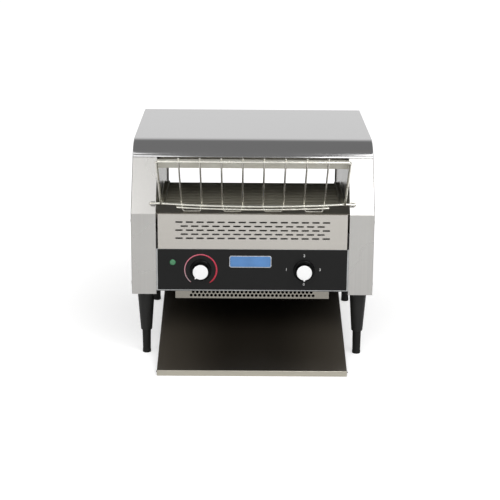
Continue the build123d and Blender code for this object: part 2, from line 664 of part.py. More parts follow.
def chain_link(pitch, gap, link_radius, pin_radius, roller_radius, is_inner):
    """One link along +Y from the origin: plates with rollers, or plates with pins through the rollers."""
    first = gap / 2 if is_inner else gap / 2 + LINK_SHEET + LINK_PLAY
    plate = Pos(pitch / 2, 0) * SlotCenterToCenter(pitch, 2 * link_radius)
    bore = pin_radius + RUNNING_PLAY
    if is_inner:
        plate -= [Pos(x, 0) * Circle(bore) for x in (0, pitch)]
        core = Circle(roller_radius) - Circle(bore)
    else:
        core = Circle(pin_radius)
    link = extrude(Plane.YZ.offset(first) * plate, amount=LINK_SHEET)
    link += extrude(Plane.YZ.offset(-first - LINK_SHEET) * plate, amount=LINK_SHEET)
    return link + [extrude(Plane.YZ.offset(-first) * Pos(x, 0) * core, amount=2 * first) for x in (0, pitch)]


def chain(pins, x, back, z, tilt, *link_sizes):
    """A closed chain: inner and outer links in turn, laid from pin to pin."""
    links = [chain_link(*link_sizes, True), chain_link(*link_sizes, False)]
    laid = []
    for i, (start, end) in enumerate(zip(pins, pins[1:] + pins[:1])):
        heading = Vector(end[0] - start[0], end[1] - start[1], 0)
        angle = Vector(1, 0, 0).get_signed_angle(heading, Vector(0, 0, 1))
        laid.append(Pos(0, *start) * Rot(angle, 0, 0) * links[i % 2])
    return [Pos(x, y_at(back), z) * Rot(tilt, 0, 0) * link for link in laid]


def belt_chains():
    """Both side chains of the belt."""
    pins = loop_pins(BELT_TEETH, BELT_PITCH, BELT_SPAN_LINKS)
    sizes = (BELT_PITCH, CHAIN_GAP, LINK_RADIUS, PIN_RADIUS, ROLLER_RADIUS)
    return [
        link
        for x in (-CHAIN_X, CHAIN_X)
        for link in chain(pins, x, BELT_SHAFT_BACK, BELT_SHAFT_Z, 0, *sizes)
    ]


def drive_chain():
    """Chain from the motor to the drive shaft."""
    pins = loop_pins(DRIVE_TEETH, DRIVE_PITCH, DRIVE_SPAN_LINKS)
    sizes = (DRIVE_PITCH, DRIVE_CHAIN_GAP, DRIVE_LINK_RADIUS, DRIVE_PIN_RADIUS, DRIVE_ROLLER_RADIUS)
    return chain(pins, DRIVE_X, BELT_SHAFT_BACK, BELT_SHAFT_Z, DRIVE_ANGLE, *sizes)


def belt_rods():
    """Cross rods of the belt, one at each chain pin."""
    half = CHAIN_X - CHAIN_HALF
    pins = loop_pins(BELT_TEETH, BELT_PITCH, BELT_SPAN_LINKS)
    return [rod_x(-half, half, BELT_SHAFT_BACK + y, BELT_SHAFT_Z + z, BELT_ROD_RADIUS) for y, z in pins]


def belt_shaft(back, right_end):
    """Shaft through both inner walls, up to the given X on the right."""
    return rod_x(-INNER_X - SHAFT_OVERHANG, right_end, back, BELT_SHAFT_Z, SHAFT_RADIUS)


def motor_shaft():
    """Output shaft of the gear motor, through the right inner wall."""
    return rod_x(INNER_X - MOTOR_SHAFT_IN, DRIVE_X + SHAFT_OVERHANG, MOTOR_BACK, MOTOR_Z, MOTOR_SHAFT_RADIUS)


def bush(back):
    """Flanged bush in the right inner wall, its flange outside the hot zone."""
    wall = INNER_X + SHEET
    body = rod_x(INNER_X, wall, back, BELT_SHAFT_Z, BUSH_RADIUS)
    body += rod_x(wall, wall + BUSH_FLANGE, back, BELT_SHAFT_Z, BUSH_FLANGE_RADIUS)
    return body - rod_x(INNER_X, wall + BUSH_FLANGE, back, BELT_SHAFT_Z, SHAFT_RADIUS + RUNNING_PLAY)


def gear_motor():
    """Gear motor flanged to the right inner wall, its motor towards the middle."""
    x1 = INNER_X - SHEET - FIT
    x0 = x1 - GEARBOX_WIDTH
    half = GEARBOX_SIDE / 2
    backs = (MOTOR_BACK - half, MOTOR_BACK + half)
    gearbox = block(x0, x1, *backs, MOTOR_Z - half, MOTOR_Z + half)
    gearbox = fillet(gearbox.edges().filter_by(Axis.X), EDGE_RADIUS)
    gearbox += block(x1, INNER_X, *backs, BASE_Z + PAN_WALL + FIT, MOTOR_Z + half)
    bore = (INNER_X - MOTOR_SHAFT_IN, INNER_X, MOTOR_BACK, MOTOR_Z)
    gearbox -= rod_x(*bore, MOTOR_SHAFT_RADIUS + RUNNING_PLAY)
    motor = rod_x(x0 - MOTOR_LENGTH, x0, MOTOR_BACK, MOTOR_Z, MOTOR_RADIUS)
    return gearbox + fillet(motor.edges().group_by(Axis.X)[0], EDGE_RADIUS)


# ================================================================ hot zone
def heaters(places):
    """Straight tubular heaters from side to side."""
    end = INNER_X + SHEET + HEATER_END
    return [rod_x(-end, end, back, z, HEATER_RADIUS) for back, z in places]


def insulator(back, z):
    """Ceramic bush that holds the right end of a heater in the inner wall."""
    wall = INNER_X + SHEET
    body = rod_x(INNER_X, wall, back, z, INSULATOR_RADIUS)
    body += rod_x(wall, wall + INSULATOR_HEAD_LENGTH, back, z, INSULATOR_HEAD)
    return body - rod_x(INNER_X, wall + INSULATOR_HEAD_LENGTH, back, z, HEATER_RADIUS + HOLE_PLAY)


def heater_box():
    """Reflector over the upper heaters, open below."""
    back1 = BOX_FRONT_BACK + BOX_LENGTH
    box = block(-INNER_X, INNER_X, BOX_FRONT_BACK, back1, BOX_LOW_Z, BOX_HIGH_Z)
    inside = (BOX_FRONT_BACK + SHEET, back1 - SHEET, BOX_LOW_Z - SHEET, BOX_HIGH_Z - SHEET)
    return box - block(-WIDTH, WIDTH, *inside)


def blanket():
    """Insulating blanket on the heater box."""
    half = INNER_X - BLANKET_MARGIN
    backs = (BOX_FRONT_BACK + BLANKET_MARGIN, BOX_FRONT_BACK + BOX_LENGTH - BLANKET_MARGIN)
    pad = block(-half, half, *backs, BOX_HIGH_Z, BOX_HIGH_Z + BLANKET_THICK)
    return fillet(pad.edges().group_by(Axis.Z)[-1], BLANKET_THICK / 4)


def lower_reflector():
    """Plate under the lower heaters, between the belt's two runs."""
    z = BELT_SHAFT_Z - REFLECTOR_DROP
    clear = BELT_RADIUS + LINK_RADIUS + SHEET
    return block(-INNER_X, INNER_X, IDLER_BACK + clear, BELT_SHAFT_BACK - clear, z - SHEET, z)


def heat_shield():
    """Plate between the belt and the electrics bay, folded down behind the bay."""
    front = PANEL_BACK + FLANGE
    plate = block(-INNER_X, INNER_X, front, DROP_BACK, SHIELD_Z, SHIELD_Z + SHEET)
    half = INNER_X - SHEET - FIT
    return plate + block(-half, half, DROP_BACK - SHEET, DROP_BACK, BASE_TOP_Z, SHIELD_Z)


def tray_z(back):
    """Height of the tray's upper face."""
    return TRAY_LIP_TOP + (back + TRAY_FRONT) * TRAY_SLOPE


HANGER_X = TRAY_WIDTH / 2 + HANGER_PLAY
HANGER_Z = tray_z(HANGER_BACK) - TRAY_SHEET * TRAY_LEAN - SEAT_GAP - HANGER_ROD_RADIUS * TRAY_LEAN


def rear_chute():
    """Curved guide from the rear panel down to the tray."""
    back = DEPTH - SHEET - SHEET / 2
    points = [
        (back, REAR_OPENING_LOW - FIT),
        (back, BOTTOM_Z + CHUTE_BEND_UP),
        (CHUTE_END_BACK, tray_z(CHUTE_END_BACK) + CHUTE_GAP),
    ]
    return bent_sheet(points, CHUTE_RADIUS, INNER_X - CHUTE_MARGIN, SHEET)


# ================================================================ tray
def toast_tray():
    """Sloping slide under the machine, with a folded front lip and hemmed sides."""
    half = TRAY_WIDTH / 2
    middle = TRAY_SHEET / 2
    points = [
        (-TRAY_FRONT, TRAY_LIP_BOTTOM),
        (-TRAY_FRONT, TRAY_LIP_TOP - middle),
        (TRAY_END_BACK, tray_z(TRAY_END_BACK) - middle),
    ]
    tray = bent_sheet(points, TRAY_BEND, half, TRAY_SHEET)
    front, end = TRAY_BEND - TRAY_FRONT, TRAY_HEM_END_BACK
    low = TRAY_HEM + middle
    outline = [
        (front, tray_z(front) - middle),
        (end, tray_z(end) - middle),
        (end, tray_z(end) - low),
        (front, tray_z(front) - low),
    ]
    hem = side_prism(side_face(outline), half - TRAY_SHEET, half)
    return tray + both_sides(hem)


def tray_rod():
    """Cross rod that the tray's back end lies on."""
    return rod_x(-HANGER_X, HANGER_X, HANGER_BACK, HANGER_Z, HANGER_ROD_RADIUS)


def tray_bracket():
    """Plate under the right end of the base pan, which carries the cross rod."""
    margin = 2 * HANGER_ROD_RADIUS
    outline = [
        (HANGER_START_BACK, BASE_Z),
        (HANGER_START_BACK, BASE_Z - margin),
        (HANGER_BACK - margin, HANGER_Z - margin),
        (HANGER_BACK + margin, HANGER_Z - margin),
        (HANGER_BACK + margin, HANGER_Z + margin),
        (DROP_BACK, BASE_Z),
    ]
    return side_prism(side_face(outline), HANGER_X, HANGER_X + HANGER_SHEET)


# ================================================================ legs
def turned(profile, x, back):
    """Solid of revolution about a vertical axis from (radius, height) points."""
    return Pos(x, y_at(back), 0) * revolve(Plane.XZ * Polygon(*profile, align=None), Axis.Z)


def leg_cone(x, back):
    """Tapered leg with a bore for the foot and a narrow one for its stud."""
    profile = [
        (0, BOTTOM_Z),
        (LEG_TOP_RADIUS, BOTTOM_Z),
        (LEG_COLLAR_RADIUS, BOTTOM_Z - LEG_COLLAR),
        (LEG_TIP_RADIUS, LEG_TIP_Z),
        (0, LEG_TIP_Z),
    ]
    wide_top = FOOT_TOP_Z + FOOT_TRAVEL_IN + LEG_BORE_MARGIN
    narrow_top = STUD_TOP_Z + FOOT_TRAVEL_IN + LEG_BORE_MARGIN
    leg = turned(profile, x, back)
    leg -= rod_z(x, back, LEG_TIP_Z, wide_top, FOOT_RADIUS + FOOT_PLAY)
    return leg - rod_z(x, back, wide_top, narrow_top, STUD_RADIUS + RUNNING_PLAY)


def foot(x, back):
    """Screw-in foot: soft end, tapered body, stud."""
    profile = [
        (0, 0),
        (FOOT_END_RADIUS - FOOT_EDGE, 0),
        (FOOT_END_RADIUS, FOOT_EDGE),
        (FOOT_END_RADIUS, FOOT_NECK),
        (FOOT_TIP_RADIUS, FOOT_NECK + FOOT_EDGE),
        (FOOT_RADIUS, LEG_TIP_Z - SHEET),
        (FOOT_RADIUS, FOOT_TOP_Z),
        (STUD_RADIUS, FOOT_TOP_Z),
        (STUD_RADIUS, STUD_TOP_Z),
        (0, STUD_TOP_Z),
    ]
    return turned(profile, x, back)


def leg_bolt(x, back):
    """Hex bolt through the cover's bottom flange, seen from inside the side bay."""
    z = BOTTOM_Z + SHEET
    head = Pos(x, y_at(back), z) * extrude(RegularPolygon(LEG_BOLT_HEAD, 6), amount=LEG_BOLT_RADIUS)
    return head + rod_z(x, back, BOTTOM_Z, z, LEG_BOLT_RADIUS)


LEG_PLACES = {
    "front_left": (-LEG_X, LEG_FRONT_BACK),
    "front_right": (LEG_X, LEG_FRONT_BACK),
    "rear_left": (-LEG_X, LEG_REAR_BACK),
    "rear_right": (LEG_X, LEG_REAR_BACK),
}


# ================================================================ feed rack
def rack_low(x):
    """Height of the bowed lower rod's middle line at X."""
    return RACK_LOW_Z - RACK_BOW * (1 - (2 * x / RACK_WIDTH) ** 2)


def bowed_rod(half, back, z_mid, z_end, radius):
    """Rod along X that sags to its middle."""
    y = y_at(back)
    path = ThreePointArc((-half, y, z_end), (0, y, z_mid), (half, y, z_end))
    return sweep(Plane(origin=path @ 0, z_dir=path % 0) * Circle(radius), path=path)


def rack_loop(x0, x1):
    """Two wires joined by a narrow foot that stands on the feed shelf."""
    foot_z = SHELF_TOP_Z + RACK_WIRE_RADIUS + SEAT_GAP
    lift_back, lift_up = WIRE_LIFT * RACK_UP, WIRE_LIFT * RACK_OUT
    top = (RACK_TOP_BACK + lift_back - RACK_TIP * RACK_OUT, RACK_TOP_Z + lift_up + RACK_TIP * RACK_UP)
    knee_back = RACK_LOW_BACK + lift_back
    points = [
        (x0, *top),
        (x0, knee_back, rack_low(x0) + lift_up),
        (x0 + RACK_FOOT_TAPER, knee_back, foot_z),
        (x1 - RACK_FOOT_TAPER, knee_back, foot_z),
        (x1, knee_back, rack_low(x1) + lift_up),
        (x1, *top),
    ]
    return wire(points, RACK_FOOT_BEND, RACK_WIRE_RADIUS)


def feed_rack():
    """Wire rack that bread slides down: a bent frame rod whose ends are pins, wire loops, cross rods."""
    half = RACK_WIDTH / 2
    top = (RACK_TOP_BACK, RACK_TOP_Z)
    low = (RACK_LOW_BACK, RACK_LOW_Z)
    pin_end = INNER_X + RACK_PIN_REACH
    corners = [(-pin_end, *low), (-half, *low), (-half, *top), (half, *top), (half, *low), (pin_end, *low)]
    rack = wire(corners, RACK_BEND, RACK_ROD_RADIUS)
    first = -(RACK_WIRES - 1) / 2 * RACK_WIRE_PITCH
    for i in range(0, RACK_WIRES, 2):
        rack += rack_loop(first + i * RACK_WIRE_PITCH, first + (i + 1) * RACK_WIRE_PITCH)
    reach = half - RACK_ROD_RADIUS - RACK_END_GAP
    rack += bowed_rod(reach, RACK_LOW_BACK, rack_low(0), rack_low(reach), RACK_CROSS_RADIUS)
    cross_back = RACK_LOW_BACK + WIRE_LIFT * RACK_UP - 2 * RACK_WIRE_RADIUS + WELD
    cross_z = SHELF_TOP_Z + RACK_ROD_RADIUS + RACK_LOW_ROD_UP
    cross_end = cross_z + RACK_BOW * (2 * RACK_LOW_ROD_HALF / RACK_WIDTH) ** 2
    return rack + bowed_rod(RACK_LOW_ROD_HALF, cross_back, cross_z, cross_end, RACK_WIRE_RADIUS)


def rack_clip():
    """Pair of ears on the right column face, above and below the rack's pin."""
    corner = (INNER_X + SHEET, y_at(0), CREASE_Z)
    face = Plane(origin=corner, x_dir=(0, LEAN_BACK, LEAN_UP), z_dir=(0, -LEAN_UP, LEAN_BACK))
    ear = Box(CLIP_SHEET, CLIP_WIDTH, CLIP_HEIGHT, align=(Align.MIN, Align.MAX, Align.MIN))
    gap = RACK_ROD_RADIUS + RACK_PIN_GAP
    return [face * Pos(along, 0) * ear for along in (RACK_PIN_UP - gap - CLIP_SHEET, RACK_PIN_UP + gap)]


# ================================================================ controls
def turned_y(profile, x, z):
    """Solid of revolution about a front-to-back axis from (radius, distance back) points."""
    outline = [(radius, back) for radius, back in profile]
    solid = revolve(Plane.XY * Polygon(*outline, align=None), Axis.Y)
    return Pos(x, FRONT_Y, z) * solid


def knob(x):
    """Fluted knob with a skirt and a recess for its cap."""
    rim, face = -KNOB_STANDOFF, -KNOB_FRONT
    profile = [
        (SPINDLE_RADIUS + RUNNING_PLAY, rim),
        (KNOB_SKIRT_RADIUS, rim),
        (KNOB_SKIRT_RADIUS, rim - KNOB_SKIRT / 2),
        (KNOB_SKIRT_RADIUS - KNOB_SKIRT / 2, rim - KNOB_SKIRT),
        (KNOB_RADIUS, rim - KNOB_SKIRT),
        (KNOB_TOP_RADIUS, face),
        (CAP_RADIUS, face),
        (CAP_RADIUS, face + CAP_RECESS),
        (0, face + CAP_RECESS),
        (0, rim - SPINDLE_KNOB_DEPTH),
        (SPINDLE_RADIUS + RUNNING_PLAY, rim - SPINDLE_KNOB_DEPTH),
    ]
    body = turned_y(profile, x, KNOB_Z)
    for i in range(KNOB_FLUTES):
        angle = 2 * pi * (i + 0.5) / KNOB_FLUTES
        reach = KNOB_RADIUS + KNOB_FLUTE_RADIUS / 2
        place = (x + reach * cos(angle), KNOB_Z + reach * sin(angle))
        body -= rod_y(place[0], face - SHEET, rim - KNOB_SKIRT, place[1], KNOB_FLUTE_RADIUS)
    return body


def knob_cap(x):
    """Slightly domed metal disc in the knob's face."""
    face = -KNOB_FRONT
    rim = CAP_RADIUS - RUNNING_PLAY
    profile = [
        (0, face + CAP_RECESS),
        (rim, face + CAP_RECESS),
        (rim, face),
        (rim - CAP_DOME, face - CAP_DOME / 2),
        (0, face - CAP_DOME),
    ]
    return turned_y(profile, x, KNOB_Z)


def spindle(x):
    """Spindle from the control's bore into the knob."""
    inside_knob = -KNOB_STANDOFF - SPINDLE_KNOB_DEPTH
    inside_control = PANEL_BACK + SHEET + SPINDLE_IN - FIT
    return rod_y(x, inside_knob, inside_control, KNOB_Z, SPINDLE_RADIUS)


def control_body(x, is_round):
    """Speed control or selector switch behind the panel, with the spindle's bore."""
    front = PANEL_BACK + SHEET
    half = CONTROL_SIDE / 2
    if is_round:
        body = rod_y(x, front, front + CONTROL_DEPTH, KNOB_Z, half)
    else:
        body = block(x - half, x + half, front, front + CONTROL_DEPTH, KNOB_Z - half, KNOB_Z + half)
    return body - rod_y(x, front, front + SPINDLE_IN, KNOB_Z, SPINDLE_RADIUS + RUNNING_PLAY)


def lamp_lens():
    """Domed lens of the pilot lamp, on the fascia."""
    profile = [
        (0, 0),
        (LAMP_RADIUS, 0),
        (LAMP_RADIUS, -LAMP_DOME / 2),
        (LAMP_RADIUS / 2, -LAMP_DOME),
        (0, -LAMP_DOME),
    ]
    return turned_y(profile, LAMP_X, LAMP_Z)


def lamp_body():
    """Barrel of the pilot lamp, through the fascia and the panel."""
    nut_back = PANEL_BACK + SHEET
    barrel = rod_y(LAMP_X, 0, LAMP_BODY_LENGTH, LAMP_Z, LAMP_BODY_RADIUS)
    return barrel + rod_y(LAMP_X, nut_back, nut_back + LAMP_DOME, LAMP_Z, LAMP_RADIUS)


# ================================================================ fan and electrics
def fan_frame():
    """Square fan frame on the base pan, with a motor boss on four spokes at its top."""
    half = FAN_SIDE / 2
    top = BASE_TOP_Z + FAN_THICK
    low = top - FAN_BOSS_THICK
    frame = block(FAN_X - half, FAN_X + half, FAN_BACK - half, FAN_BACK + half, BASE_TOP_Z, top)
    frame = fillet(frame.edges().filter_by(Axis.Z), FAN_SPOKE)
    frame -= rod_z(FAN_X, FAN_BACK, BASE_TOP_Z, top, FAN_BORE)
    spoke = FAN_SPOKE / 2
    reach = FAN_BORE + SHEET / 2
    frame += block(FAN_X - reach, FAN_X + reach, FAN_BACK - spoke, FAN_BACK + spoke, low, top)
    frame += block(FAN_X - spoke, FAN_X + spoke, FAN_BACK - reach, FAN_BACK + reach, low, top)
    frame += rod_z(FAN_X, FAN_BACK, low, top, FAN_BOSS)
    return frame - rod_z(FAN_X, FAN_BACK, low, top - SHEET, FAN_AXLE_RADIUS + RUNNING_PLAY)


def fan_rotor():
    """Hub, pitched blades and axle."""
    low, high = BASE_TOP_Z + FAN_GAP, BASE_TOP_Z + FAN_THICK - FAN_BOSS_THICK - FAN_GAP
    middle = (low + high) / 2
    tip = FAN_BORE - FAN_BLADE_TIP_GAP
    rotor = rod_z(FAN_X, FAN_BACK, low, high, FAN_HUB)
    chord = (high - low - FAN_BLADE_SHEET) / sin(radians(FAN_BLADE_PITCH))
    blade = Box(tip - FAN_HUB / 2, chord, FAN_BLADE_SHEET, align=(Align.MIN, Align.CENTER, Align.CENTER))
    for i in range(FAN_BLADES):
        turn = Rot(0, 0, i * 360 / FAN_BLADES) * Pos(FAN_HUB / 2, 0, 0) * Rot(FAN_BLADE_PITCH, 0, 0)
        rotor += Pos(FAN_X, y_at(FAN_BACK), middle) * turn * blade
    sweep_limit = rod_z(FAN_X, FAN_BACK, low, high, tip)
    axle = rod_z(FAN_X, FAN_BACK, high, high + FAN_GAP + FAN_BOSS_THICK - 2 * SHEET, FAN_AXLE_RADIUS)
    return (rotor & sweep_limit) + axle


def terminal_block():
    """Terminal block on the base pan, with a row of screw wells."""
    width, depth, height = TERMINAL_SIZE
    x0 = TERMINAL_X - width / 2
    body = block(x0, x0 + width, TERMINAL_BACK, TERMINAL_BACK + depth, BASE_TOP_Z, BASE_TOP_Z + height)
    step = width / SCREW_WELLS
    for i in range(SCREW_WELLS):
        x = x0 + step * (i + 0.5)
        body -= rod_z(x, TERMINAL_BACK + depth / 2, BASE_TOP_Z + height / 2, BASE_TOP_Z + height, step / 3)
    return body


def relay():
    """Heater contactor on the base pan."""
    width, depth, height = RELAY_SIZE
    body = block(RELAY_X, RELAY_X + width, RELAY_BACK, RELAY_BACK + depth, BASE_TOP_Z, BASE_TOP_Z + height)
    return chamfer(body.edges().group_by(Axis.Z)[-1], EDGE_RADIUS)


def cable_gland():
    """Gland for the supply cable in the left rear flange."""
    inner_back = DEPTH - SHEET
    ends = (inner_back - GLAND_INSIDE, REAR_REACH)
    body = rod_y(-LEG_X, *ends, GLAND_Z, GLAND_RADIUS)
    nut = extrude(Plane.XZ * RegularPolygon(GLAND_NUT, 6), amount=-GLAND_NUT_THICK)
    for back in (inner_back - GLAND_NUT_THICK, DEPTH):
        body += Pos(-LEG_X, y_at(back), GLAND_Z) * nut
    return body - rod_y(-LEG_X, *ends, GLAND_Z, GLAND_BORE)


def cover_screw(back, z):
    """Pan-head screw in the right cover."""
    outer = WIDTH / 2
    head = rod_x(outer, outer + SCREW_HEAD, back, z, SCREW_HEAD_RADIUS)
    head = fillet(head.edges().group_by(Axis.X)[-1], SCREW_HEAD / 2)
    return head + rod_x(outer - SCREW_LENGTH, outer, back, z, SCREW_RADIUS)


# ================================================================ the nodes
save("hood", hood())
right_cover = side_cover()
save("right_side_cover", right_cover)
save("left_side_cover", mirrored(right_cover) - gland_hole())
right_wall = inner_wall()
save("right_inner_wall", right_wall - motor_hole())
save("left_inner_wall", mirrored(right_wall))
save("base_pan", base_pan())
save("rear_lower_panel", rear_panel(BOTTOM_Z + SHEET, REAR_OPENING_LOW, BASE_TOP_Z))
save("rear_upper_panel", rear_panel(REAR_OPENING_HIGH, SEAM_Z, REAR_OPENING_HIGH))
save("front_grille", grille())
save("feed_shelf", feed_shelf())
save("control_panel", control_panel())
save("control_fascia", control_fascia())
save("air_inlet", air_inlet())

save("belt_rods", *belt_rods())
save("belt_chains", *belt_chains())
save("drive_shaft", belt_shaft(BELT_SHAFT_BACK, DRIVE_X + SHAFT_OVERHANG))
save("drive_sprockets", *both_sides(belt_sprocket(BELT_SHAFT_BACK)))
save("idler_shaft", belt_shaft(IDLER_BACK, INNER_X + SHAFT_OVERHANG))
save("idler_sprockets", *both_sides(belt_sprocket(IDLER_BACK)))
save("shaft_bushes", *[piece for back in (BELT_SHAFT_BACK, IDLER_BACK) for piece in both_sides(bush(back))])
save("drive_wheel", drive_wheel(BELT_SHAFT_BACK, BELT_SHAFT_Z, SHAFT_RADIUS + RUNNING_PLAY))
save("motor_wheel", drive_wheel(MOTOR_BACK, MOTOR_Z, MOTOR_SHAFT_RADIUS + RUNNING_PLAY))
save("motor_shaft", motor_shaft())
save("drive_chain", *drive_chain())
save("gear_motor", gear_motor())

save("upper_heaters", *heaters(upper_heater_places()))
save("lower_heaters", *heaters(lower_heater_places()))
heater_places = upper_heater_places() + lower_heater_places()
save("heater_insulators", *[piece for place in heater_places for piece in both_sides(insulator(*place))])
save("upper_heater_box", heater_box())
save("insulation_blanket", blanket())
save("lower_reflector", lower_reflector())
save("heat_shield", heat_shield())
save("rear_chute", rear_chute())

save("toast_tray", toast_tray())
save("tray_rod", tray_rod())
save("tray_brackets", *both_sides(tray_bracket()))
save("leg_cones", *[leg_cone(*place) for place in LEG_PLACES.values()])
save("leg_bolts", *[leg_bolt(*place) for place in LEG_PLACES.values()])
for corner, place in LEG_PLACES.items():
    save(f"foot_{corner}", foot(*place))

save("feed_rack", feed_rack())
save("rack_clips", *[piece for ear in rack_clip() for piece in both_sides(ear)])

for name, x in (("speed", -KNOB_X), ("selector", KNOB_X)):
    save(f"{name}_knob", knob(x))
    save(f"{name}_knob_cap", knob_cap(x))
    save(f"{name}_spindle", spindle(x))
save("speed_control", control_body(-KNOB_X, True))
save("selector_switch", control_body(KNOB_X, False))
save("pilot_lens", lamp_lens())
save("pilot_body", lamp_body())

save("fan_frame", fan_frame())
save("fan_rotor", fan_rotor())
save("terminal_block", terminal_block())
save("heater_relay", relay())
save("cable_gland", cable_gland())
save("cover_screws", *[piece for place in cover_screw_places() for piece in both_sides(cover_screw(*place))])
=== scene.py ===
"""Finished surfaces of a conveyor toaster, built around its construction frame.

Laid out as an add-on and run as a script. Lengths are metres: +X is the machine's right seen from
the front, +Y its back and +Z up, with the floor at Z = 0. Distances named ..._BACK are measured
backwards from the front plane of the two columns.
"""
from math import cos, hypot, pi, radians, sin, tan

import bmesh
import bpy
import numpy as np
from mathutils import Matrix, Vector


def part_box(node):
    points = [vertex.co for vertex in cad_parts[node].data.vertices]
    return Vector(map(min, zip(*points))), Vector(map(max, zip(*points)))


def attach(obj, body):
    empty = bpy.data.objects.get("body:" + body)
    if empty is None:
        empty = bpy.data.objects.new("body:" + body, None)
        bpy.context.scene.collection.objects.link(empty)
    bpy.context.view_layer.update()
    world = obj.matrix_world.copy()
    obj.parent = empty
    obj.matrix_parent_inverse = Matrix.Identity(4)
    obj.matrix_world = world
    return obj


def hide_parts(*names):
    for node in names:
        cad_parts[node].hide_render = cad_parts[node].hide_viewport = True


bl_info = {
    "name": "Conveyor toaster",
    "version": (1, 0, 0),
    "blender": (4, 5, 0),
    "location": "View3D > Sidebar > Toaster",
    "description": "Builds the finished surfaces of a conveyor toaster around its construction frame",
    "category": "Object",
}

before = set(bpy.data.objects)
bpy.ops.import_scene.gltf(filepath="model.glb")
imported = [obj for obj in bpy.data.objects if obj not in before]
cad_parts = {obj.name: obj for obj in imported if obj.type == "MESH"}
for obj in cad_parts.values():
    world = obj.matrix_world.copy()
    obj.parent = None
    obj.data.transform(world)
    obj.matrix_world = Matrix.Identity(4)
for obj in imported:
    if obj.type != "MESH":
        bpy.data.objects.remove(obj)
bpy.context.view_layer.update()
MM = 0.001
CORNERS = ("front_left", "front_right", "rear_left", "rear_right")

# ---------------------------------------------------------------- places taken from the frame
COVER_LOW, COVER_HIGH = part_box("right_side_cover")
HOOD_LOW, HOOD_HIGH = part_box("hood")
FASCIA_LOW, FASCIA_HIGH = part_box("control_fascia")
TRAY_LOW, TRAY_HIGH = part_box("toast_tray")
FRONT_Y = COVER_LOW.y
HOUSING_HALF = HOOD_HIGH.x
INNER_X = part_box("base_pan")[1].x
CREASE_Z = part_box("front_grille")[1].z
SHELF_TOP_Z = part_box("feed_shelf")[1].z
KNOB_PLACE = (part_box("selector_knob")[0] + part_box("selector_knob")[1]) / 2
LAMP_PLACE = (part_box("pilot_lens")[0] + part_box("pilot_lens")[1]) / 2
KNOB_X, KNOB_Z = KNOB_PLACE.x, KNOB_PLACE.z
LAMP_X, LAMP_Z = LAMP_PLACE.x, LAMP_PLACE.z

# ---------------------------------------------------------------- housing and rack geometry
SEAM_BACK = 67.6 * MM
HOOD_RADIUS = 56.0 * MM
FOLD_RADIUS = 2.2 * MM
HOLD = 0.4 * MM
SHEET = 1.2 * MM
LEAN = np.array([SEAM_BACK, HOOD_LOW.z - CREASE_Z]) / hypot(SEAM_BACK, HOOD_LOW.z - CREASE_Z)

TRAY_SHEET = 1.5 * MM
TRAY_LIP = 10.5 * MM
TRAY_FOLD = 1.6 * MM
TRAY_HEM = 5.0 * MM
TRAY_BEND = 2.2 * MM
TRAY_SLOPE = tan(radians(13.93))

RACK_HALF = INNER_X - 10.0 * MM
RACK_LENGTH = 160.5 * MM
RACK_SLOPE = radians(42.8)
RACK_ROD = 2.25 * MM
RACK_CROSS = 2.1 * MM
RACK_WIRE = 1.7 * MM
RACK_SINK = 0.35 * MM
RACK_PIN_UP = 21.0 * MM
RACK_PIN_REACH = 12.0 * MM
RACK_STANDOFF = 2.55 * MM
RACK_BOW = 5.3 * MM
RACK_PITCH = 39.3 * MM
RACK_WIRES = 8
RACK_TIP = 5.5 * MM
RACK_BEND = 3.5 * MM
RACK_FOOT_TAPER = 3.5 * MM
RACK_FOOT_BEND = 3.0 * MM
RACK_LOW_ROD_HALF = 147.0 * MM
RACK_LOW_ROD_UP = 6.25 * MM
SEAT_GAP = 0.3 * MM

# ---------------------------------------------------------------- controls and stage
ROOM_LEVEL = 0.26
FRONT_LEVEL = 0.30
BACKDROP_LEVEL = 0.84
FLOOR_HALF = 12.0
SOFTBOXES = (("softbox_left", (-1.05, -1.42, 1.97)), ("softbox_right", (1.04, -1.5, 1.98)))
SOFTBOX_SIZE = 1.7
KEY_PLACE = (0.0, -2.2, 1.55)
KEY_SIZE = 1.5
AIM_HEIGHT = 0.3
NEAR_FLOOR_GLOW, FAR_FLOOR_GLOW = 0.48, 0.70
NEAR_FLOOR, FAR_FLOOR = 0.30, 1.0
ARC_START, ARC_END = radians(232), radians(-56)
SELECTOR_ANGLE = radians(-90)
POINTER_LENGTH, POINTER_WIDTH = 5.0 * MM, 6.0 * MM
KNOB_STANDOFF = 0.5 * MM
KNOB_FRONT = 16.0 * MM
KNOB_FLUTES = 20
DISC_RADIUS = 14.75 * MM
PRINT_THICK = 0.06 * MM
PLATE_PLACE = (-4.0 * MM, LAMP_Z + 2.0 * MM)
FACES_FRONT = Matrix.Rotation(pi / 2, 4, "X")


# ================================================================ surfaces on a grid
def round_angles(count):
    """Angles spaced evenly round one turn."""
    return np.arange(count) * 2 * pi / count


def unit_tangents(path):
    """Direction of a path at each of its points, of length 1."""
    tangent = np.gradient(path, axis=0)
    return tangent / np.linalg.norm(tangent, axis=1)[:, None]


def left_normals(path):
    """Normal on the left of a flat path at each of its points."""
    tangent = unit_tangents(path)
    return np.stack([-tangent[:, 1], tangent[:, 0]], axis=1)


def new_object(name, data):
    """Object linked to the scene."""
    made = bpy.data.objects.new(name, data)
    bpy.context.scene.collection.objects.link(made)
    return made


def grid_faces(rows, columns, wrap=False):
    """Quads of a grid of points stored row by row; with wrap, each row closes on itself."""
    row, column = np.meshgrid(np.arange(rows - 1), np.arange(columns if wrap else columns - 1), indexing="ij")
    here, beside = row * columns + column, row * columns + (column + 1) % columns
    corners = (here, beside, beside + columns, here + columns)
    return np.stack([corner.ravel() for corner in corners], axis=1)


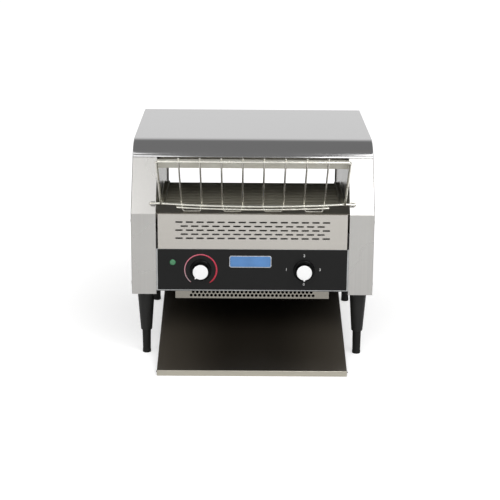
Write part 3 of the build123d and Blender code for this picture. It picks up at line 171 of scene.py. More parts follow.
def put_mesh(name, points, faces, outward=True):
    """Mesh object from an (n, 3) array and quads, with doubles merged and faces turned outwards."""
    mesh = bpy.data.meshes.new(name)
    mesh.from_pydata(points.reshape(-1, 3).tolist(), [], faces.tolist())
    work = bmesh.new()
    work.from_mesh(mesh)
    bmesh.ops.remove_doubles(work, verts=work.verts, dist=2e-6)
    bmesh.ops.dissolve_degenerate(work, edges=work.edges, dist=1e-7)
    if outward:
        bmesh.ops.recalc_face_normals(work, faces=work.faces)
    work.to_mesh(mesh)
    work.free()
    mesh.shade_smooth()
    return new_object(name, mesh)


def grid_piece(name, points, wrap=False):
    """Piece from one (rows, columns, 3) grid of points."""
    return put_mesh(name, points, grid_faces(*points.shape[:2], wrap))


def grids_piece(name, grids):
    """Piece from several grids of points, each a closed surface of its own."""
    faces = []
    start = 0
    for points in grids:
        faces.append(grid_faces(*points.shape[:2], wrap=True) + start)
        start += points.shape[0] * points.shape[1]
    return put_mesh(name, np.concatenate([points.reshape(-1, 3) for points in grids]), np.concatenate(faces))


def thicken(piece, thickness):
    """Give a sheet its wall, inwards from the modelled face, and shade its wide faces flat."""
    solid = piece.modifiers.new("wall", "SOLIDIFY")
    solid.thickness = thickness
    solid.offset = -1.0
    shading = piece.modifiers.new("shading", "WEIGHTED_NORMAL")
    shading.weight = 100
    return piece


def rounded_path(corners, radii, steps=8, hold=0.0):
    """Path along straight runs joined by tangent arcs.

    A corner turned by an angle t is cut back by r tan(t / 2). From there the arc's point at an angle a is
    start + r (sin a forwards + (1 - cos a) sideways). With hold, one more point lies that far before and
    after each arc, which keeps the shading of a flat stretch flat.
    """
    corners = np.array(corners, float)
    path = [corners[:1]]
    for before, corner, after, radius in zip(corners, corners[1:], corners[2:], radii):
        arrive, leave = corner - before, after - corner
        arrive, leave = arrive / np.linalg.norm(arrive), leave / np.linalg.norm(leave)
        turn = np.arccos(np.clip(arrive @ leave, -1, 1))
        side = leave - arrive * (arrive @ leave)
        side = side / np.linalg.norm(side)
        start = corner - arrive * radius * np.tan(turn / 2)
        angle = np.linspace(0, turn, steps + 1)[:, None]
        arc = start + radius * (np.sin(angle) * arrive + (1 - np.cos(angle)) * side)
        if hold:
            arc = np.concatenate([arc[:1] - hold * arrive, arc, arc[-1:] + hold * leave])
        path.append(arc)
    return np.concatenate(path + [corners[-1:]])


def divided(path, longest):
    """The same path with its long runs divided, so that no step is longer than a length."""
    steps = np.linalg.norm(np.diff(path, axis=0), axis=1)
    counts = np.maximum(1, np.ceil(steps / longest)).astype(int)
    place = np.concatenate([[0.0], *[i + np.arange(1, n + 1) / n for i, n in enumerate(counts)]])
    return np.stack([np.interp(place, np.arange(len(path)), axis) for axis in path.T], axis=1)


def tube(path, radius, reference=(0, 1, 0), sides=16):
    """Round bar along a path: point (s, a) is P(s) + r (cos a A + sin a B), with A square to the tangent and
    to a fixed reference, and B square to both. The ends close in a small rounded rim and a pole.
    """
    path = np.asarray(path, float)
    tangent = unit_tangents(path)
    rim = radius * 0.3
    inset = np.array([0.0, rim * 0.3, rim])
    shrink = np.array([0.0, radius - rim * 0.3, radius])
    head = path[0] + tangent[0] * inset[:, None]
    tail = path[-1] - tangent[-1] * inset[::-1, None]
    path = np.concatenate([head, path[1:-1], tail])
    tangent = np.concatenate([np.repeat(tangent[:1], 3, 0), tangent[1:-1], np.repeat(tangent[-1:], 3, 0)])
    radii = np.full(len(path), radius)
    radii[:3], radii[-3:] = shrink, shrink[::-1]
    side = np.cross(tangent, reference)
    side /= np.linalg.norm(side, axis=1)[:, None]
    up = np.cross(side, tangent)
    angle = round_angles(sides)
    ring = np.cos(angle)[None, :, None] * side[:, None] + np.sin(angle)[None, :, None] * up[:, None]
    return path[:, None] + radii[:, None, None] * ring


def turned(profile, centre, axis, sides=64, flute=None):
    """Surface of revolution: profile point (r, h) goes to centre + r (cos a U + sin a V) + h axis.

    flute(a, r, h) may change the radius round the turn. The first and last radius are 0, so both poles close.
    """
    radius, height = np.array(profile, float).T
    angle = round_angles(sides)
    axis = np.array(axis, float)
    first = np.array([1.0, 0.0, 0.0])
    second = np.cross(axis, first)
    reach = np.repeat(radius[:, None], sides, 1)
    if flute:
        reach = flute(angle[None, :], reach, height[:, None])
    spin = np.cos(angle)[:, None] * first + np.sin(angle)[:, None] * second
    return np.array(centre) + reach[..., None] * spin[None] + height[:, None, None] * axis


def rounded_profile(corners, radii, steps=4):
    """Profile of (radius, height) points with its inner corners rounded."""
    flat = [(radius, 0.0, height) for radius, height in corners]
    return rounded_path(flat, radii, steps, 0.15 * MM)[:, [0, 2]]


def ellipsoids(centres, half_sizes, sides=12):
    """One grid for each centre: c + (rx sin p cos a, ry sin p sin a, rz cos p)."""
    polar = np.linspace(0, pi, sides // 2 + 1)[:, None]
    around = round_angles(sides)[None]
    parts = np.sin(polar) * np.cos(around), np.sin(polar) * np.sin(around), np.cos(polar) + 0 * around
    ball = np.stack(parts, axis=-1)
    return [np.array(centre) + ball * np.array(half_sizes) for centre in centres]


def flat_print(low, high):
    """Thin raised print on the fascia between two rows of (x, z) points, as a closed strip."""
    back, front = FASCIA_LOW.y, FASCIA_LOW.y - PRINT_THICK
    rows = []
    for outline, y in ((low, front), (high, front), (high, back), (low, back)):
        rows.append(np.stack([outline[:, 0], np.full(len(outline), y), outline[:, 1]], axis=1))
    return np.stack(rows, axis=1)


# ================================================================ finishes
class Finish:
    """One node material under construction, with short calls for the nodes that it needs."""

    def __init__(self, name, colour, roughness, metallic=0.0):
        self.material = bpy.data.materials.new(name)
        self.material.use_nodes = True
        self.tree = self.material.node_tree
        self.shader = self.tree.nodes["Principled BSDF"]
        self.set("Base Color", (*colour, 1.0))
        self.set("Roughness", roughness)
        self.set("Metallic", metallic)
        self.colour = colour
        self.material.diffuse_color = (*colour, 1.0)

    def set(self, socket, value):
        self.shader.inputs[socket].default_value = value
        return self

    def node(self, kind, **inputs):
        made = self.tree.nodes.new(kind)
        for socket, value in inputs.items():
            made.inputs[socket.replace("_", " ")].default_value = value
        return made

    def link(self, source, target):
        self.tree.links.new(source, target)

    def coords(self, stretch):
        """Object coordinates in metres, multiplied along each axis."""
        mapping = self.node("ShaderNodeMapping", Scale=stretch)
        self.link(self.node("ShaderNodeTexCoord").outputs["Object"], mapping.inputs["Vector"])
        return mapping.outputs["Vector"]

    def noise(self, stretch, detail=3.0, distortion=0.0):
        """Noise whose cells are 1 / stretch metres long each way."""
        made = self.node("ShaderNodeTexNoise", Scale=1.0, Detail=detail, Distortion=distortion)
        self.link(self.coords(stretch), made.inputs["Vector"])
        return made.outputs["Fac"]

    def split_axis(self, axis):
        """One object coordinate in metres."""
        split = self.node("ShaderNodeSeparateXYZ")
        self.link(self.coords((1.0, 1.0, 1.0)), split.inputs["Vector"])
        return split.outputs[axis]

    def ramp(self, factor, *stops):
        """Colour between (position, colour) stops."""
        made = self.node("ShaderNodeValToRGB")
        elements = made.color_ramp.elements
        while len(elements) < len(stops):
            elements.new(0.5)
        for element, (position, colour) in zip(elements, stops):
            element.position = position
            element.color = (*colour, 1.0)
        self.link(factor, made.inputs["Fac"])
        return made.outputs["Color"]

    def between(self, factor, low, high, from_low=0.2, from_high=0.8):
        """Number that goes smoothly from low to high as the factor does."""
        made = self.node("ShaderNodeMapRange")
        made.interpolation_type = "SMOOTHSTEP"
        limits = (from_low, from_high, low, high)
        for socket, value in zip(("From Min", "From Max", "To Min", "To Max"), limits):
            made.inputs[socket].default_value = value
        self.link(factor, made.inputs["Value"])
        return made.outputs["Result"]

    def shade(self, factor, spread):
        """Let the base colour wander by a share round its own value."""
        low = [max(0.0, c * (1 - spread)) for c in self.colour]
        high = [min(1.0, c * (1 + spread)) for c in self.colour]
        self.link(self.ramp(factor, (0.3, low), (0.7, high)), self.shader.inputs["Base Color"])
        return self

    def gloss(self, factor, low, high):
        """Let the roughness wander between two values."""
        self.link(self.between(factor, low, high), self.shader.inputs["Roughness"])
        return self

    def relief(self, factor, depth, edge=0.0):
        """Bump of a depth in metres; an edge radius rounds the sharp edges of folded sheet."""
        bump = self.node("ShaderNodeBump", Strength=1.0, Distance=depth)
        self.link(factor, bump.inputs["Height"])
        if edge:
            bevel = self.node("ShaderNodeBevel", Radius=edge)
            bevel.samples = 4
            self.link(bevel.outputs["Normal"], bump.inputs["Normal"])
        self.link(bump.outputs["Normal"], self.shader.inputs["Normal"])
        return self


def brushed(name, colour, roughness, grain, edge=0.3 * MM, spread=0.03):
    """Brushed steel: streaks a micrometre deep along the axis where grain is small, and soft wide clouds."""
    finish = Finish(name, colour, roughness, metallic=1.0)
    streaks = finish.noise(grain, detail=4.0)
    clouds = finish.noise((6.0, 6.0, 6.0), detail=2.0)
    finish.shade(streaks, spread)
    finish.gloss(clouds, roughness * 0.9, roughness * 1.1)
    finish.relief(streaks, 0.001 * MM, edge)
    return finish.material


def moulded(name, colour, roughness, grain=1800.0, depth=0.01 * MM, edge=0.0, shine=0.5):
    """Moulded plastic or rubber with a fine even texture and slightly uneven gloss."""
    finish = Finish(name, colour, roughness)
    finish.set("Specular IOR Level", shine)
    skin = finish.noise((grain,) * 3, detail=2.0)
    cloud = finish.noise((25.0,) * 3, detail=3.0)
    finish.shade(cloud, 0.12)
    finish.gloss(cloud, roughness * 0.9, roughness * 1.1)
    finish.relief(skin, depth, edge)
    return finish.material


def enamelled(name, colour, roughness, edge=0.3 * MM, shine=0.5):
    """Painted or powder-coated sheet: a faint orange peel under a satin gloss."""
    finish = Finish(name, colour, roughness)
    finish.set("Specular IOR Level", shine)
    peel = finish.noise((350.0,) * 3, detail=2.0)
    cloud = finish.noise((12.0,) * 3, detail=2.0)
    finish.shade(cloud, 0.08)
    finish.gloss(cloud, roughness * 0.9, roughness * 1.12)
    finish.relief(peel, 0.01 * MM, edge)
    return finish.material


def heat_marked(name, colour, scorched, roughness, grain, metallic=1.0):
    """Steel from the hot zone: clouds of straw and brown tarnish over fine streaks."""
    finish = Finish(name, colour, roughness, metallic)
    tarnish = finish.noise((14.0, 14.0, 22.0), detail=5.0, distortion=0.6)
    middle = [(a + b) / 2 for a, b in zip(colour, scorched)]
    stops = ((0.32, colour), (0.52, middle), (0.72, scorched))
    finish.link(finish.ramp(tarnish, *stops), finish.shader.inputs["Base Color"])
    finish.gloss(tarnish, roughness * 0.8, min(1.0, roughness * 1.35))
    finish.relief(finish.noise(grain, detail=3.0), 0.006 * MM, 0.3 * MM)
    return finish.material


def turned_metal(name, colour, roughness, spread=0.08):
    """Turned or ground metal with fine rings along its length."""
    finish = Finish(name, colour, roughness, metallic=1.0)
    rings = finish.noise((900.0, 120.0, 120.0), detail=3.0)
    finish.shade(rings, spread)
    finish.gloss(rings, roughness * 0.8, roughness * 1.2)
    finish.relief(rings, 0.01 * MM, 0.3 * MM)
    return finish.material


def cover(nodes, material):
    """Give CAD nodes one finish."""
    for name in nodes:
        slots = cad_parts[name].data.materials
        slots.clear()
        slots.append(material)


def dress(piece, body, slot, material, *replaced):
    """Finish a new piece: its material, the body it moves with and the nodes that it stands for."""
    piece.data.materials.append(material)
    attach(piece, body)
    if replaced:
        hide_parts(*replaced)
    return piece


# ================================================================ settings
def colour_setting(name, description, default):
    return bpy.props.FloatVectorProperty(
        name=name, description=description, subtype="COLOR", size=3, min=0.0, max=1.0, default=default)


def length_setting(name, description, low, high, default):
    """Length setting whose limits and default are given in millimetres."""
    return bpy.props.FloatProperty(
        name=name, description=description, subtype="DISTANCE", unit="LENGTH",
        min=low * MM, max=high * MM, default=default * MM)


def number_setting(name, description, low, high, default):
    return bpy.props.FloatProperty(name=name, description=description, min=low, max=high, default=default)


class SteelSettings(bpy.types.PropertyGroup):
    colour: colour_setting("Steel colour", "Colour of the outer stainless sheet", (0.57, 0.56, 0.54))
    roughness: number_setting("Roughness", "How far the brushed sheet spreads a reflection", 0.05, 1.0, 0.14)
    inner_colour: colour_setting(
        "Inner steel colour", "Colour of the heat-dulled sheet in the hot zone", (0.95, 0.94, 0.91))


class BeltSettings(bpy.types.PropertyGroup):
    colour: colour_setting("Belt colour", "Colour of the heat-darkened rods and chains", (0.18, 0.17, 0.13))


class TraySettings(bpy.types.PropertyGroup):
    colour: colour_setting("Tray colour", "Colour of the tray's dark coat", (0.011, 0.009, 0.0065))
    # Painted sheen: the paler colour towards the tray's sides stands in for light reflected along them.
    side_colour: colour_setting(
        "Side colour", "Colour of the coat towards the tray's sides", (0.040, 0.034, 0.026))
    lip_colour: colour_setting("Lip colour", "Colour of the bare steel lip", (0.57, 0.54, 0.46))
    roughness: number_setting("Roughness", "How far the tray spreads a reflection", 0.05, 1.0, 0.33)
    # Painted shade: the black under the machine stands in for the deep shade there.
    under_colour: colour_setting(
        "Underside colour", "Colour of the black coat under the machine", (0.012, 0.012, 0.011))


class RackSettings(bpy.types.PropertyGroup):
    colour: colour_setting("Wire colour", "Colour of the plated wires", (0.62, 0.60, 0.55))
    # Painted highlight: the rods' near-white plating is a lit copy of the wires' plating.
    rod_colour: colour_setting("Rod colour", "Colour of the plated rods", (0.97, 0.95, 0.86))
    weld: length_setting("Weld size", "Half length of the weld beads on the wires", 0.5, 4.0, 2.3)


class LegSettings(bpy.types.PropertyGroup):
    colour: colour_setting("Leg colour", "Colour of the legs and the levelling feet", (0.011, 0.011, 0.010))


class ControlSettings(bpy.types.PropertyGroup):
    fascia_colour: colour_setting("Fascia colour", "Colour of the control fascia", (0.007, 0.007, 0.007))
    disc_colour: colour_setting("Disc colour", "Colour of the bright discs in the knobs", (0.86, 0.86, 0.86))
    arc_radius: length_setting("Arc radius", "Radius of the printed heat arc", 20.0, 50.0, 31.0)
    arc_width: length_setting("Arc width", "Width of the printed heat arc", 0.5, 5.0, 2.0)
    number_height: length_setting("Number height", "Height of the printed numbers", 2.0, 10.0, 7.5)
    plate_colour: colour_setting("Plate colour", "Colour of the blank name plate", (0.08, 0.21, 0.46))
    lamp_colour: colour_setting("Lamp colour", "Colour of the pilot lamp", (0.033, 0.15, 0.066))


class StageSettings(bpy.types.PropertyGroup):
    camera_place: bpy.props.FloatVectorProperty(
        name="Camera place", description="Where the camera stands", subtype="TRANSLATION",
        unit="LENGTH", size=3, default=(-0.0177, -2.7247, 0.9764))
    camera_turn: bpy.props.FloatVectorProperty(
        name="Camera turn", description="Tilt from level, roll and turn of the camera", subtype="EULER",
        unit="ROTATION", size=3, default=(radians(-16.404), radians(0.443), radians(-0.287)))
    lens: number_setting("Lens", "Focal length in millimetres on a 36 mm sensor", 10.0, 300.0, 99.27)
    floor_colour: colour_setting("Floor colour", "Colour of the floor", (0.72, 0.72, 0.72))
    softbox_power: bpy.props.FloatVectorProperty(
        name="Softbox power", description="Power of the left and the right softbox, in watts",
        size=2, min=0.0, max=500.0, default=(11.0, 25.0))
    key_power: number_setting(
        "Key power", "Power of the soft lamp over the camera, in watts, left out of reflections",
        0.0, 500.0, 17.0)
    fill: number_setting("Fill", "Strength of the even light from all round", 0.0, 4.0, 0.5)


SETTINGS = {
    "toaster_steel": SteelSettings,
    "toaster_belt": BeltSettings,
    "toaster_tray": TraySettings,
    "toaster_rack": RackSettings,
    "toaster_legs": LegSettings,
    "toaster_controls": ControlSettings,
    "toaster_stage": StageSettings,
}


# ================================================================ housing
def hood_surface():
    """Folded hood. Round its side view runs P(u) with outward normal N(u). Across it, a point starts on the
    lower rim of one side, climbs the flat end and turns over the edge as P - r N + r (sin a X + cos a N). It
    then crosses the top and comes down the other end.
    """
    seam = np.array([FRONT_Y + SEAM_BACK, HOOD_LOW.z])
    brow = seam + LEAN * (HOOD_HIGH.z - HOOD_LOW.z) / LEAN[1]
    side_view = [seam, brow, (HOOD_HIGH.y, HOOD_HIGH.z), (HOOD_HIGH.y, HOOD_LOW.z)]
    flat = [(0.0, *point) for point in side_view]
    path = divided(rounded_path(flat, (HOOD_RADIUS, FOLD_RADIUS), 20, HOLD), 0.03)[:, 1:]
    normal = left_normals(path)
    inner = path - normal * FOLD_RADIUS
    inner[:, 1] = np.maximum(inner[:, 1], HOOD_LOW.z)
    rim_y = np.linspace(path[0, 0] + FOLD_RADIUS, HOOD_HIGH.y - FOLD_RADIUS, len(path))
    climb = np.linspace(0, 1, 4)[:-1, None, None]
    rim = np.stack([rim_y, np.full(len(path), HOOD_LOW.z)], axis=1)
    rise = rim[None] * (1 - climb) + inner[None] * climb
    angle = np.append(np.linspace(pi / 2, 0, 9), 0)
    over = inner[None] + FOLD_RADIUS * np.cos(angle)[:, None, None] * normal[None]
    side_yz = np.concatenate([rise, over])
    side_x = np.concatenate([np.full(3, HOUSING_HALF), HOUSING_HALF - FOLD_RADIUS * (1 - np.sin(angle))])
    side_x[-1] -= HOLD
    right = np.concatenate([np.broadcast_to(side_x[:, None, None], (*side_yz.shape[:2], 1)), side_yz], axis=2)
    left = right[::-1] * np.array([-1, 1, 1])
    return np.concatenate([right, left]).transpose(1, 0, 2)


def cross_head(centre, axis_sign):
    """Pan head with a cross recess: height h(r, a) is a dome less a recess that is deep where the point lies
    within the cross's arms.
    """
    head_radius, head_height, arm, reach = 3.8 * MM, 1.9 * MM, 0.55 * MM, 2.1 * MM
    around, out = np.meshgrid(round_angles(48), np.linspace(0, 1, 16))
    radius = out * head_radius
    dome = head_height * np.sqrt(np.clip(1 - 0.75 * out ** 4, 0, 1))
    across = np.minimum(np.abs(radius * np.sin(around)), np.abs(radius * np.cos(around)))
    in_arm = np.clip((arm - across) / (0.25 * MM) + 0.5, 0, 1) * np.clip((reach - radius) / (0.3 * MM), 0, 1)
    height = dome - in_arm * 1.1 * MM
    height[-1] = 0.0
    grid = np.stack([height * axis_sign, radius * np.cos(around), radius * np.sin(around)], axis=-1)
    back = np.stack([0 * height[:1], 0 * around[:1], 0 * around[:1]], axis=-1)
    return np.concatenate([grid, back]) + np.array(centre)


def screw_places():
    """Centres of the cover screws on both sides, with the way each head points."""
    margin = 18.0 * MM
    back, low = COVER_HIGH.y - margin, COVER_LOW.z + margin
    places = [
        (FRONT_Y + margin, low),
        (back, low),
        (FRONT_Y + margin, CREASE_Z - margin),
        (back, HOOD_LOW.z - margin),
    ]
    return [(sign * HOUSING_HALF, y, z, sign) for sign in (-1, 1) for y, z in places]


class TOASTER_OT_hood(bpy.types.Operator):
    """Folded hood over the hot zone"""
    bl_idname = "toaster.hood"
    bl_label = "Hood"

    def execute(self, context):
        steel = context.scene.toaster_steel
        neutral = [sum(steel.colour) / 3 * tint for tint in (1.0, 0.995, 1.0)]
        finish = brushed("steel_hood", neutral, steel.roughness * 0.78, (3.0, 730.0, 610.0), spread=0.012)
        hood = grid_piece("hood_skin", hood_surface())
        dress(thicken(hood, SHEET), "housing", "brushed_steel_cover", finish, "hood")
        return {"FINISHED"}


class TOASTER_OT_covers(bpy.types.Operator):
    """Side covers, front and rear panels and their screws"""
    bl_idname = "toaster.covers"
    bl_label = "Covers and panels"

    def execute(self, context):
        steel = context.scene.toaster_steel
        cool = [c * 0.96 for c in steel.colour]
        upright = brushed("steel_upright", cool, steel.roughness * 2, (730.0, 610.0, 4.0))
        warm = [c * tint for c, tint in zip(steel.colour, (0.96, 0.935, 0.90))]
        grain = (4.0, 730.0, 610.0)
        level = brushed("steel_level", warm, steel.roughness, grain, edge=0.15 * MM, spread=0.015)
        cover(("right_side_cover", "left_side_cover", "rack_clips"), upright)
        cover(("front_grille", "rear_lower_panel", "rear_upper_panel"), level)
        heads = [cross_head(place[:3], place[3]) for place in screw_places()]
        screws = grids_piece("cover_screw_heads", heads)
        zinc = turned_metal("zinc_screw", (0.55, 0.55, 0.54), 0.3)
        dress(screws, "housing", "bolt_zinc", zinc, "cover_screws")
        return {"FINISHED"}


# ================================================================ hot zone and drive
def blanket_surface():
    """Soft pad: its top is level in the middle and drops near its four sides as (1 - u^14) (1 - v^14), with
    small lumps that are products of sine waves.
    """
    low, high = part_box("insulation_blanket")
    across, along = np.meshgrid(np.linspace(-1, 1, 70), np.linspace(-1, 1, 50))
    edge = np.clip(1 - np.abs(across) ** 14, 0, 1) * np.clip(1 - np.abs(along) ** 14, 0, 1)
    lumps = 0.6 * np.sin(7 * across + 2 * along) * np.cos(6 * along)
    lumps += 0.4 * np.sin(19 * across) * np.sin(17 * along)
    x = (low.x + high.x) / 2 + across * (high.x - low.x) / 2
    y = (low.y + high.y) / 2 + along * (high.y - low.y) / 2
    thick = (high.z - low.z) * (0.55 + 0.38 * edge) * (1 + 0.03 * lumps)
    top = np.stack([x, y, low.z + np.minimum(thick, high.z - low.z)], axis=-1)
    bottom = np.stack([x, y, np.full_like(x, low.z)], axis=-1)
    return top, bottom


def closed_pad(name, top, bottom):
    """Piece from a top and a bottom grid joined round their edge."""
    rows, columns = top.shape[:2]
    faces = grid_faces(rows, columns)
    rim = np.concatenate([
        np.arange(columns), np.arange(1, rows) * columns + columns - 1,
        (rows - 1) * columns + np.arange(columns - 2, -1, -1), np.arange(rows - 2, 0, -1) * columns,
    ])
    after = np.roll(rim, -1)
    size = rows * columns
    wall = np.stack([rim, after, after + size, rim + size], axis=1)
    points = np.concatenate([top.reshape(-1, 3), bottom.reshape(-1, 3)])
    return put_mesh(name, points, np.concatenate([faces, faces[:, ::-1] + size, wall]))


class TOASTER_OT_hot_zone(bpy.types.Operator):
    """Inner walls, heaters, reflectors, insulation and the chute"""
    bl_idname = "toaster.hot_zone"
    bl_label = "Hot zone"

    def execute(self, context):
        inner = context.scene.toaster_steel.inner_colour
        along = (900.0, 6.0, 900.0)
        wall = heat_marked("steel_inner_wall", inner, [c * 0.94 for c in inner], 0.22, along)
        box = heat_marked("steel_heater_box", (0.52, 0.51, 0.455), (0.45, 0.43, 0.37), 0.4, along, 0.7)
        plate = heat_marked("steel_hot_plate", (0.36, 0.34, 0.30), (0.20, 0.18, 0.14), 0.42, along)
        tube_grain = (900.0, 60.0, 60.0)
        sheath = heat_marked("heater_sheath", (0.16, 0.15, 0.14), (0.09, 0.08, 0.075), 0.5, tube_grain)
        cover(("right_inner_wall", "left_inner_wall"), wall)
        cover(("upper_heater_box", "rear_chute"), box)
        cover(("feed_shelf", "lower_reflector"), plate)
        cover(("upper_heaters", "lower_heaters"), sheath)
        cover(("heater_insulators",), moulded("ceramic", (0.72, 0.68, 0.60), 0.6))
        wool = Finish("mineral_wool", (0.62, 0.59, 0.50), 0.95)
        fibres = wool.noise((420.0, 700.0, 420.0), detail=6.0, distortion=1.5)
        wool.shade(fibres, 0.25).relief(fibres, 0.6 * MM)
        pad = closed_pad("wool_pad", *blanket_surface())
        dress(pad, "housing", "mineral_wool", wool.material, "insulation_blanket")
        return {"FINISHED"}


class TOASTER_OT_drive(bpy.types.Operator):
    """Belt, chains, shafts and the gear motor"""
    bl_idname = "toaster.drive"
    bl_label = "Belt and drive"

    def execute(self, context):
        dark = context.scene.toaster_belt.colour
        wire = heat_marked("belt_wire", dark, [c * 0.75 for c in dark], 0.5, (60.0, 900.0, 900.0), 0.25)
        oiled = heat_marked("oiled_chain", [c * 1.8 for c in dark], dark, 0.4, (700.0, 700.0, 700.0))
        ground = turned_metal("ground_shaft", (0.45, 0.44, 0.43), 0.25)
        machined = turned_metal("machined_wheel", (0.28, 0.27, 0.25), 0.38)
        cover(("belt_rods",), wire)
        cover(("belt_chains", "drive_chain"), oiled)
        cover(("drive_shaft", "idler_shaft", "motor_shaft"), ground)
        cover(("drive_sprockets", "idler_sprockets", "drive_wheel", "motor_wheel"), machined)
        cover(("shaft_bushes",), turned_metal("bronze", (0.50, 0.33, 0.15), 0.32))
        cover(("gear_motor",), enamelled("motor_enamel", (0.10, 0.11, 0.12), 0.4))
        return {"FINISHED"}


class TOASTER_OT_electrics(bpy.types.Operator):
    """Electrics bay, fan and the cable gland"""
    bl_idname = "toaster.electrics"
    bl_label = "Electrics bay"

    def execute(self, context):
        steel = context.scene.toaster_steel
        zinc = brushed("zinc_sheet", (0.50, 0.51, 0.51), 0.38, (40.0, 40.0, 40.0), spread=0.12)
        cover(("control_panel", "heat_shield", "tray_brackets", "tray_rod", "leg_bolts"), zinc)
        black = moulded("black_moulding", (0.02, 0.02, 0.021), 0.42, edge=0.3 * MM)
        parts = ("speed_control", "selector_switch", "pilot_body", "fan_frame", "fan_rotor", "cable_gland")
        cover(parts, black)
        cover(("terminal_block", "heater_relay"), moulded("white_moulding", (0.70, 0.69, 0.65), 0.45))
        # Painted shade: the base pan and the inlet's downward faces are coloured black for the shade under
        # the machine.
        under = context.scene.toaster_tray.under_colour
        cover(("base_pan",), enamelled("painted_shade_underside", under, 0.6))
        cover(("air_inlet",), self.inlet_finish(steel, under))
        return {"FINISHED"}

    def inlet_finish(self, steel, under):
        """Brushed steel whose downward faces turn black: painted shade under the machine."""
        # Painted shade: the bare steel here is a darker, warmer copy of the sheet's colour, for the shade on
        # the inlet.
        bare = [c * tint for c, tint in zip(steel.colour, (0.55, 0.53, 0.48))]
        finish = Finish("steel_inlet", bare, steel.roughness)
        geometry = finish.node("ShaderNodeNewGeometry")
        split = finish.node("ShaderNodeSeparateXYZ")
        finish.link(geometry.outputs["Normal"], split.inputs["Vector"])
        up = finish.between(split.outputs["Z"], 0.0, 1.0, -0.9, -0.7)
        finish.link(up, finish.shader.inputs["Metallic"])
        finish.link(finish.ramp(up, (0.0, under), (1.0, bare)), finish.shader.inputs["Base Color"])
        finish.relief(finish.noise((4.0, 730.0, 610.0), detail=4.0), 0.0015 * MM, 0.15 * MM)
        return finish.material


# ================================================================ tray
def tray_surface():
    """Folded tray. Lengthwise, C(u) rises up the front lip, bends and climbs to the back, with N(u) square to
    it; across it, a point lies flat, turns down over the edge with the fold radius and ends in a short hem.
    """
    lip_z, lip_top = TRAY_LOW.z, TRAY_LOW.z + TRAY_LIP
    front = TRAY_LOW.y
    back_z = lip_top + (TRAY_HIGH.y - front) * TRAY_SLOPE
    corners = [(0.0, front, lip_z), (0.0, front, lip_top), (0.0, TRAY_HIGH.y, back_z)]
    path = divided(rounded_path(corners, (TRAY_BEND,), 10, HOLD), 0.02)[:, 1:]
    normal = left_normals(path)
    half = TRAY_HIGH.x
    angle = np.linspace(0, pi / 2, 7)
    flat = np.linspace(0, half - TRAY_FOLD - HOLD, 6)[1:]
    x = np.concatenate([flat, half - TRAY_FOLD * (1 - np.sin(angle)), [half, half]])
    drop = np.concatenate([0 * flat, TRAY_FOLD * (1 - np.cos(angle)), [TRAY_FOLD + HOLD, TRAY_HEM]])
    x, drop = np.concatenate([-x[::-1], x]), np.concatenate([drop[::-1], drop])
    yz = path[:, None] - normal[:, None] * drop[None, :, None]
    return np.concatenate([np.broadcast_to(x[None, :, None], (len(path), len(x), 1)), yz], axis=2)


class TOASTER_OT_tray(bpy.types.Operator):
    """Sloping tray under the machine"""
    bl_idname = "toaster.tray"
    bl_label = "Tray"

    def execute(self, context):
        tray = context.scene.toaster_tray
        piece = thicken(grid_piece("tray_slide", tray_surface()), TRAY_SHEET)
        dress(piece, "tray", "black_tray", self.coat(tray), "toast_tray")
        return {"FINISHED"}

    def coat(self, tray):
        """Dark satin coat with a painted sheen that pales it towards both sides, stopping along the top edge
        of the bare front lip.
        """
        finish = Finish("tray_coat", tray.colour, tray.roughness)
        finish.set("Specular IOR Level", 0.8)
        across = finish.node("ShaderNodeMath")
        across.operation = "ABSOLUTE"
        finish.link(finish.split_axis("X"), across.inputs[0])
        # Painted sheen: the coat's colour pales towards both sides, in place of the light reflected there.
        painted_sheen = finish.between(across.outputs["Value"], 0.0, 1.0, TRAY_HIGH.x * 0.2, TRAY_HIGH.x * 1.05)
        bare = finish.between(finish.split_axis("Y"), 1.0, 0.0, TRAY_LOW.y + 1.0 * MM, TRAY_LOW.y + 1.3 * MM)
        finish.link(bare, finish.shader.inputs["Metallic"])
        mixed = finish.node("ShaderNodeMixRGB")
        mixed.inputs["Color2"].default_value = (*tray.lip_colour, 1.0)
        finish.link(bare, mixed.inputs["Fac"])
        finish.link(finish.ramp(painted_sheen, (0.0, tray.colour), (1.0, tray.side_colour)), mixed.inputs["Color1"])
        finish.link(mixed.outputs["Color"], finish.shader.inputs["Base Color"])
        cloud = finish.noise((8.0, 8.0, 8.0), detail=2.0)
        finish.gloss(cloud, tray.roughness * 0.92, tray.roughness * 1.08)
        finish.relief(finish.noise((500.0, 500.0, 500.0), detail=2.0), 0.003 * MM)
        return finish.material


# ================================================================ rack
RACK_UP, RACK_OUT = sin(RACK_SLOPE), cos(RACK_SLOPE)
RACK_LOW = np.array([
    RACK_PIN_UP * LEAN[0] - RACK_STANDOFF * LEAN[1],
    CREASE_Z + RACK_PIN_UP * LEAN[1] + RACK_STANDOFF * LEAN[0],
])
RACK_TOP = RACK_LOW + RACK_LENGTH * np.array([-RACK_OUT, RACK_UP])
WIRE_LIFT = RACK_ROD + RACK_WIRE - RACK_SINK


def from_back(x, back, z):
    """Point from its distance behind the columns' front plane."""
    return (x, FRONT_Y + back, z)


def bow_z(x):
    """Height of the bowed rod: it sags as 1 - (2 x / width)^2."""
    return RACK_LOW[1] - RACK_BOW * (1 - (x / RACK_HALF) ** 2)


def bowed_path(half, back, lift):
    """Points of a rod that sags like the lower rod of the rack."""
    x = np.linspace(-half, half, 41)
    return np.stack([x, np.full_like(x, FRONT_Y + back), bow_z(x) + lift], axis=1)


def rack_wire_x():
    """Places of the wires across the rack."""
    return (np.arange(RACK_WIRES) - (RACK_WIRES - 1) / 2) * RACK_PITCH


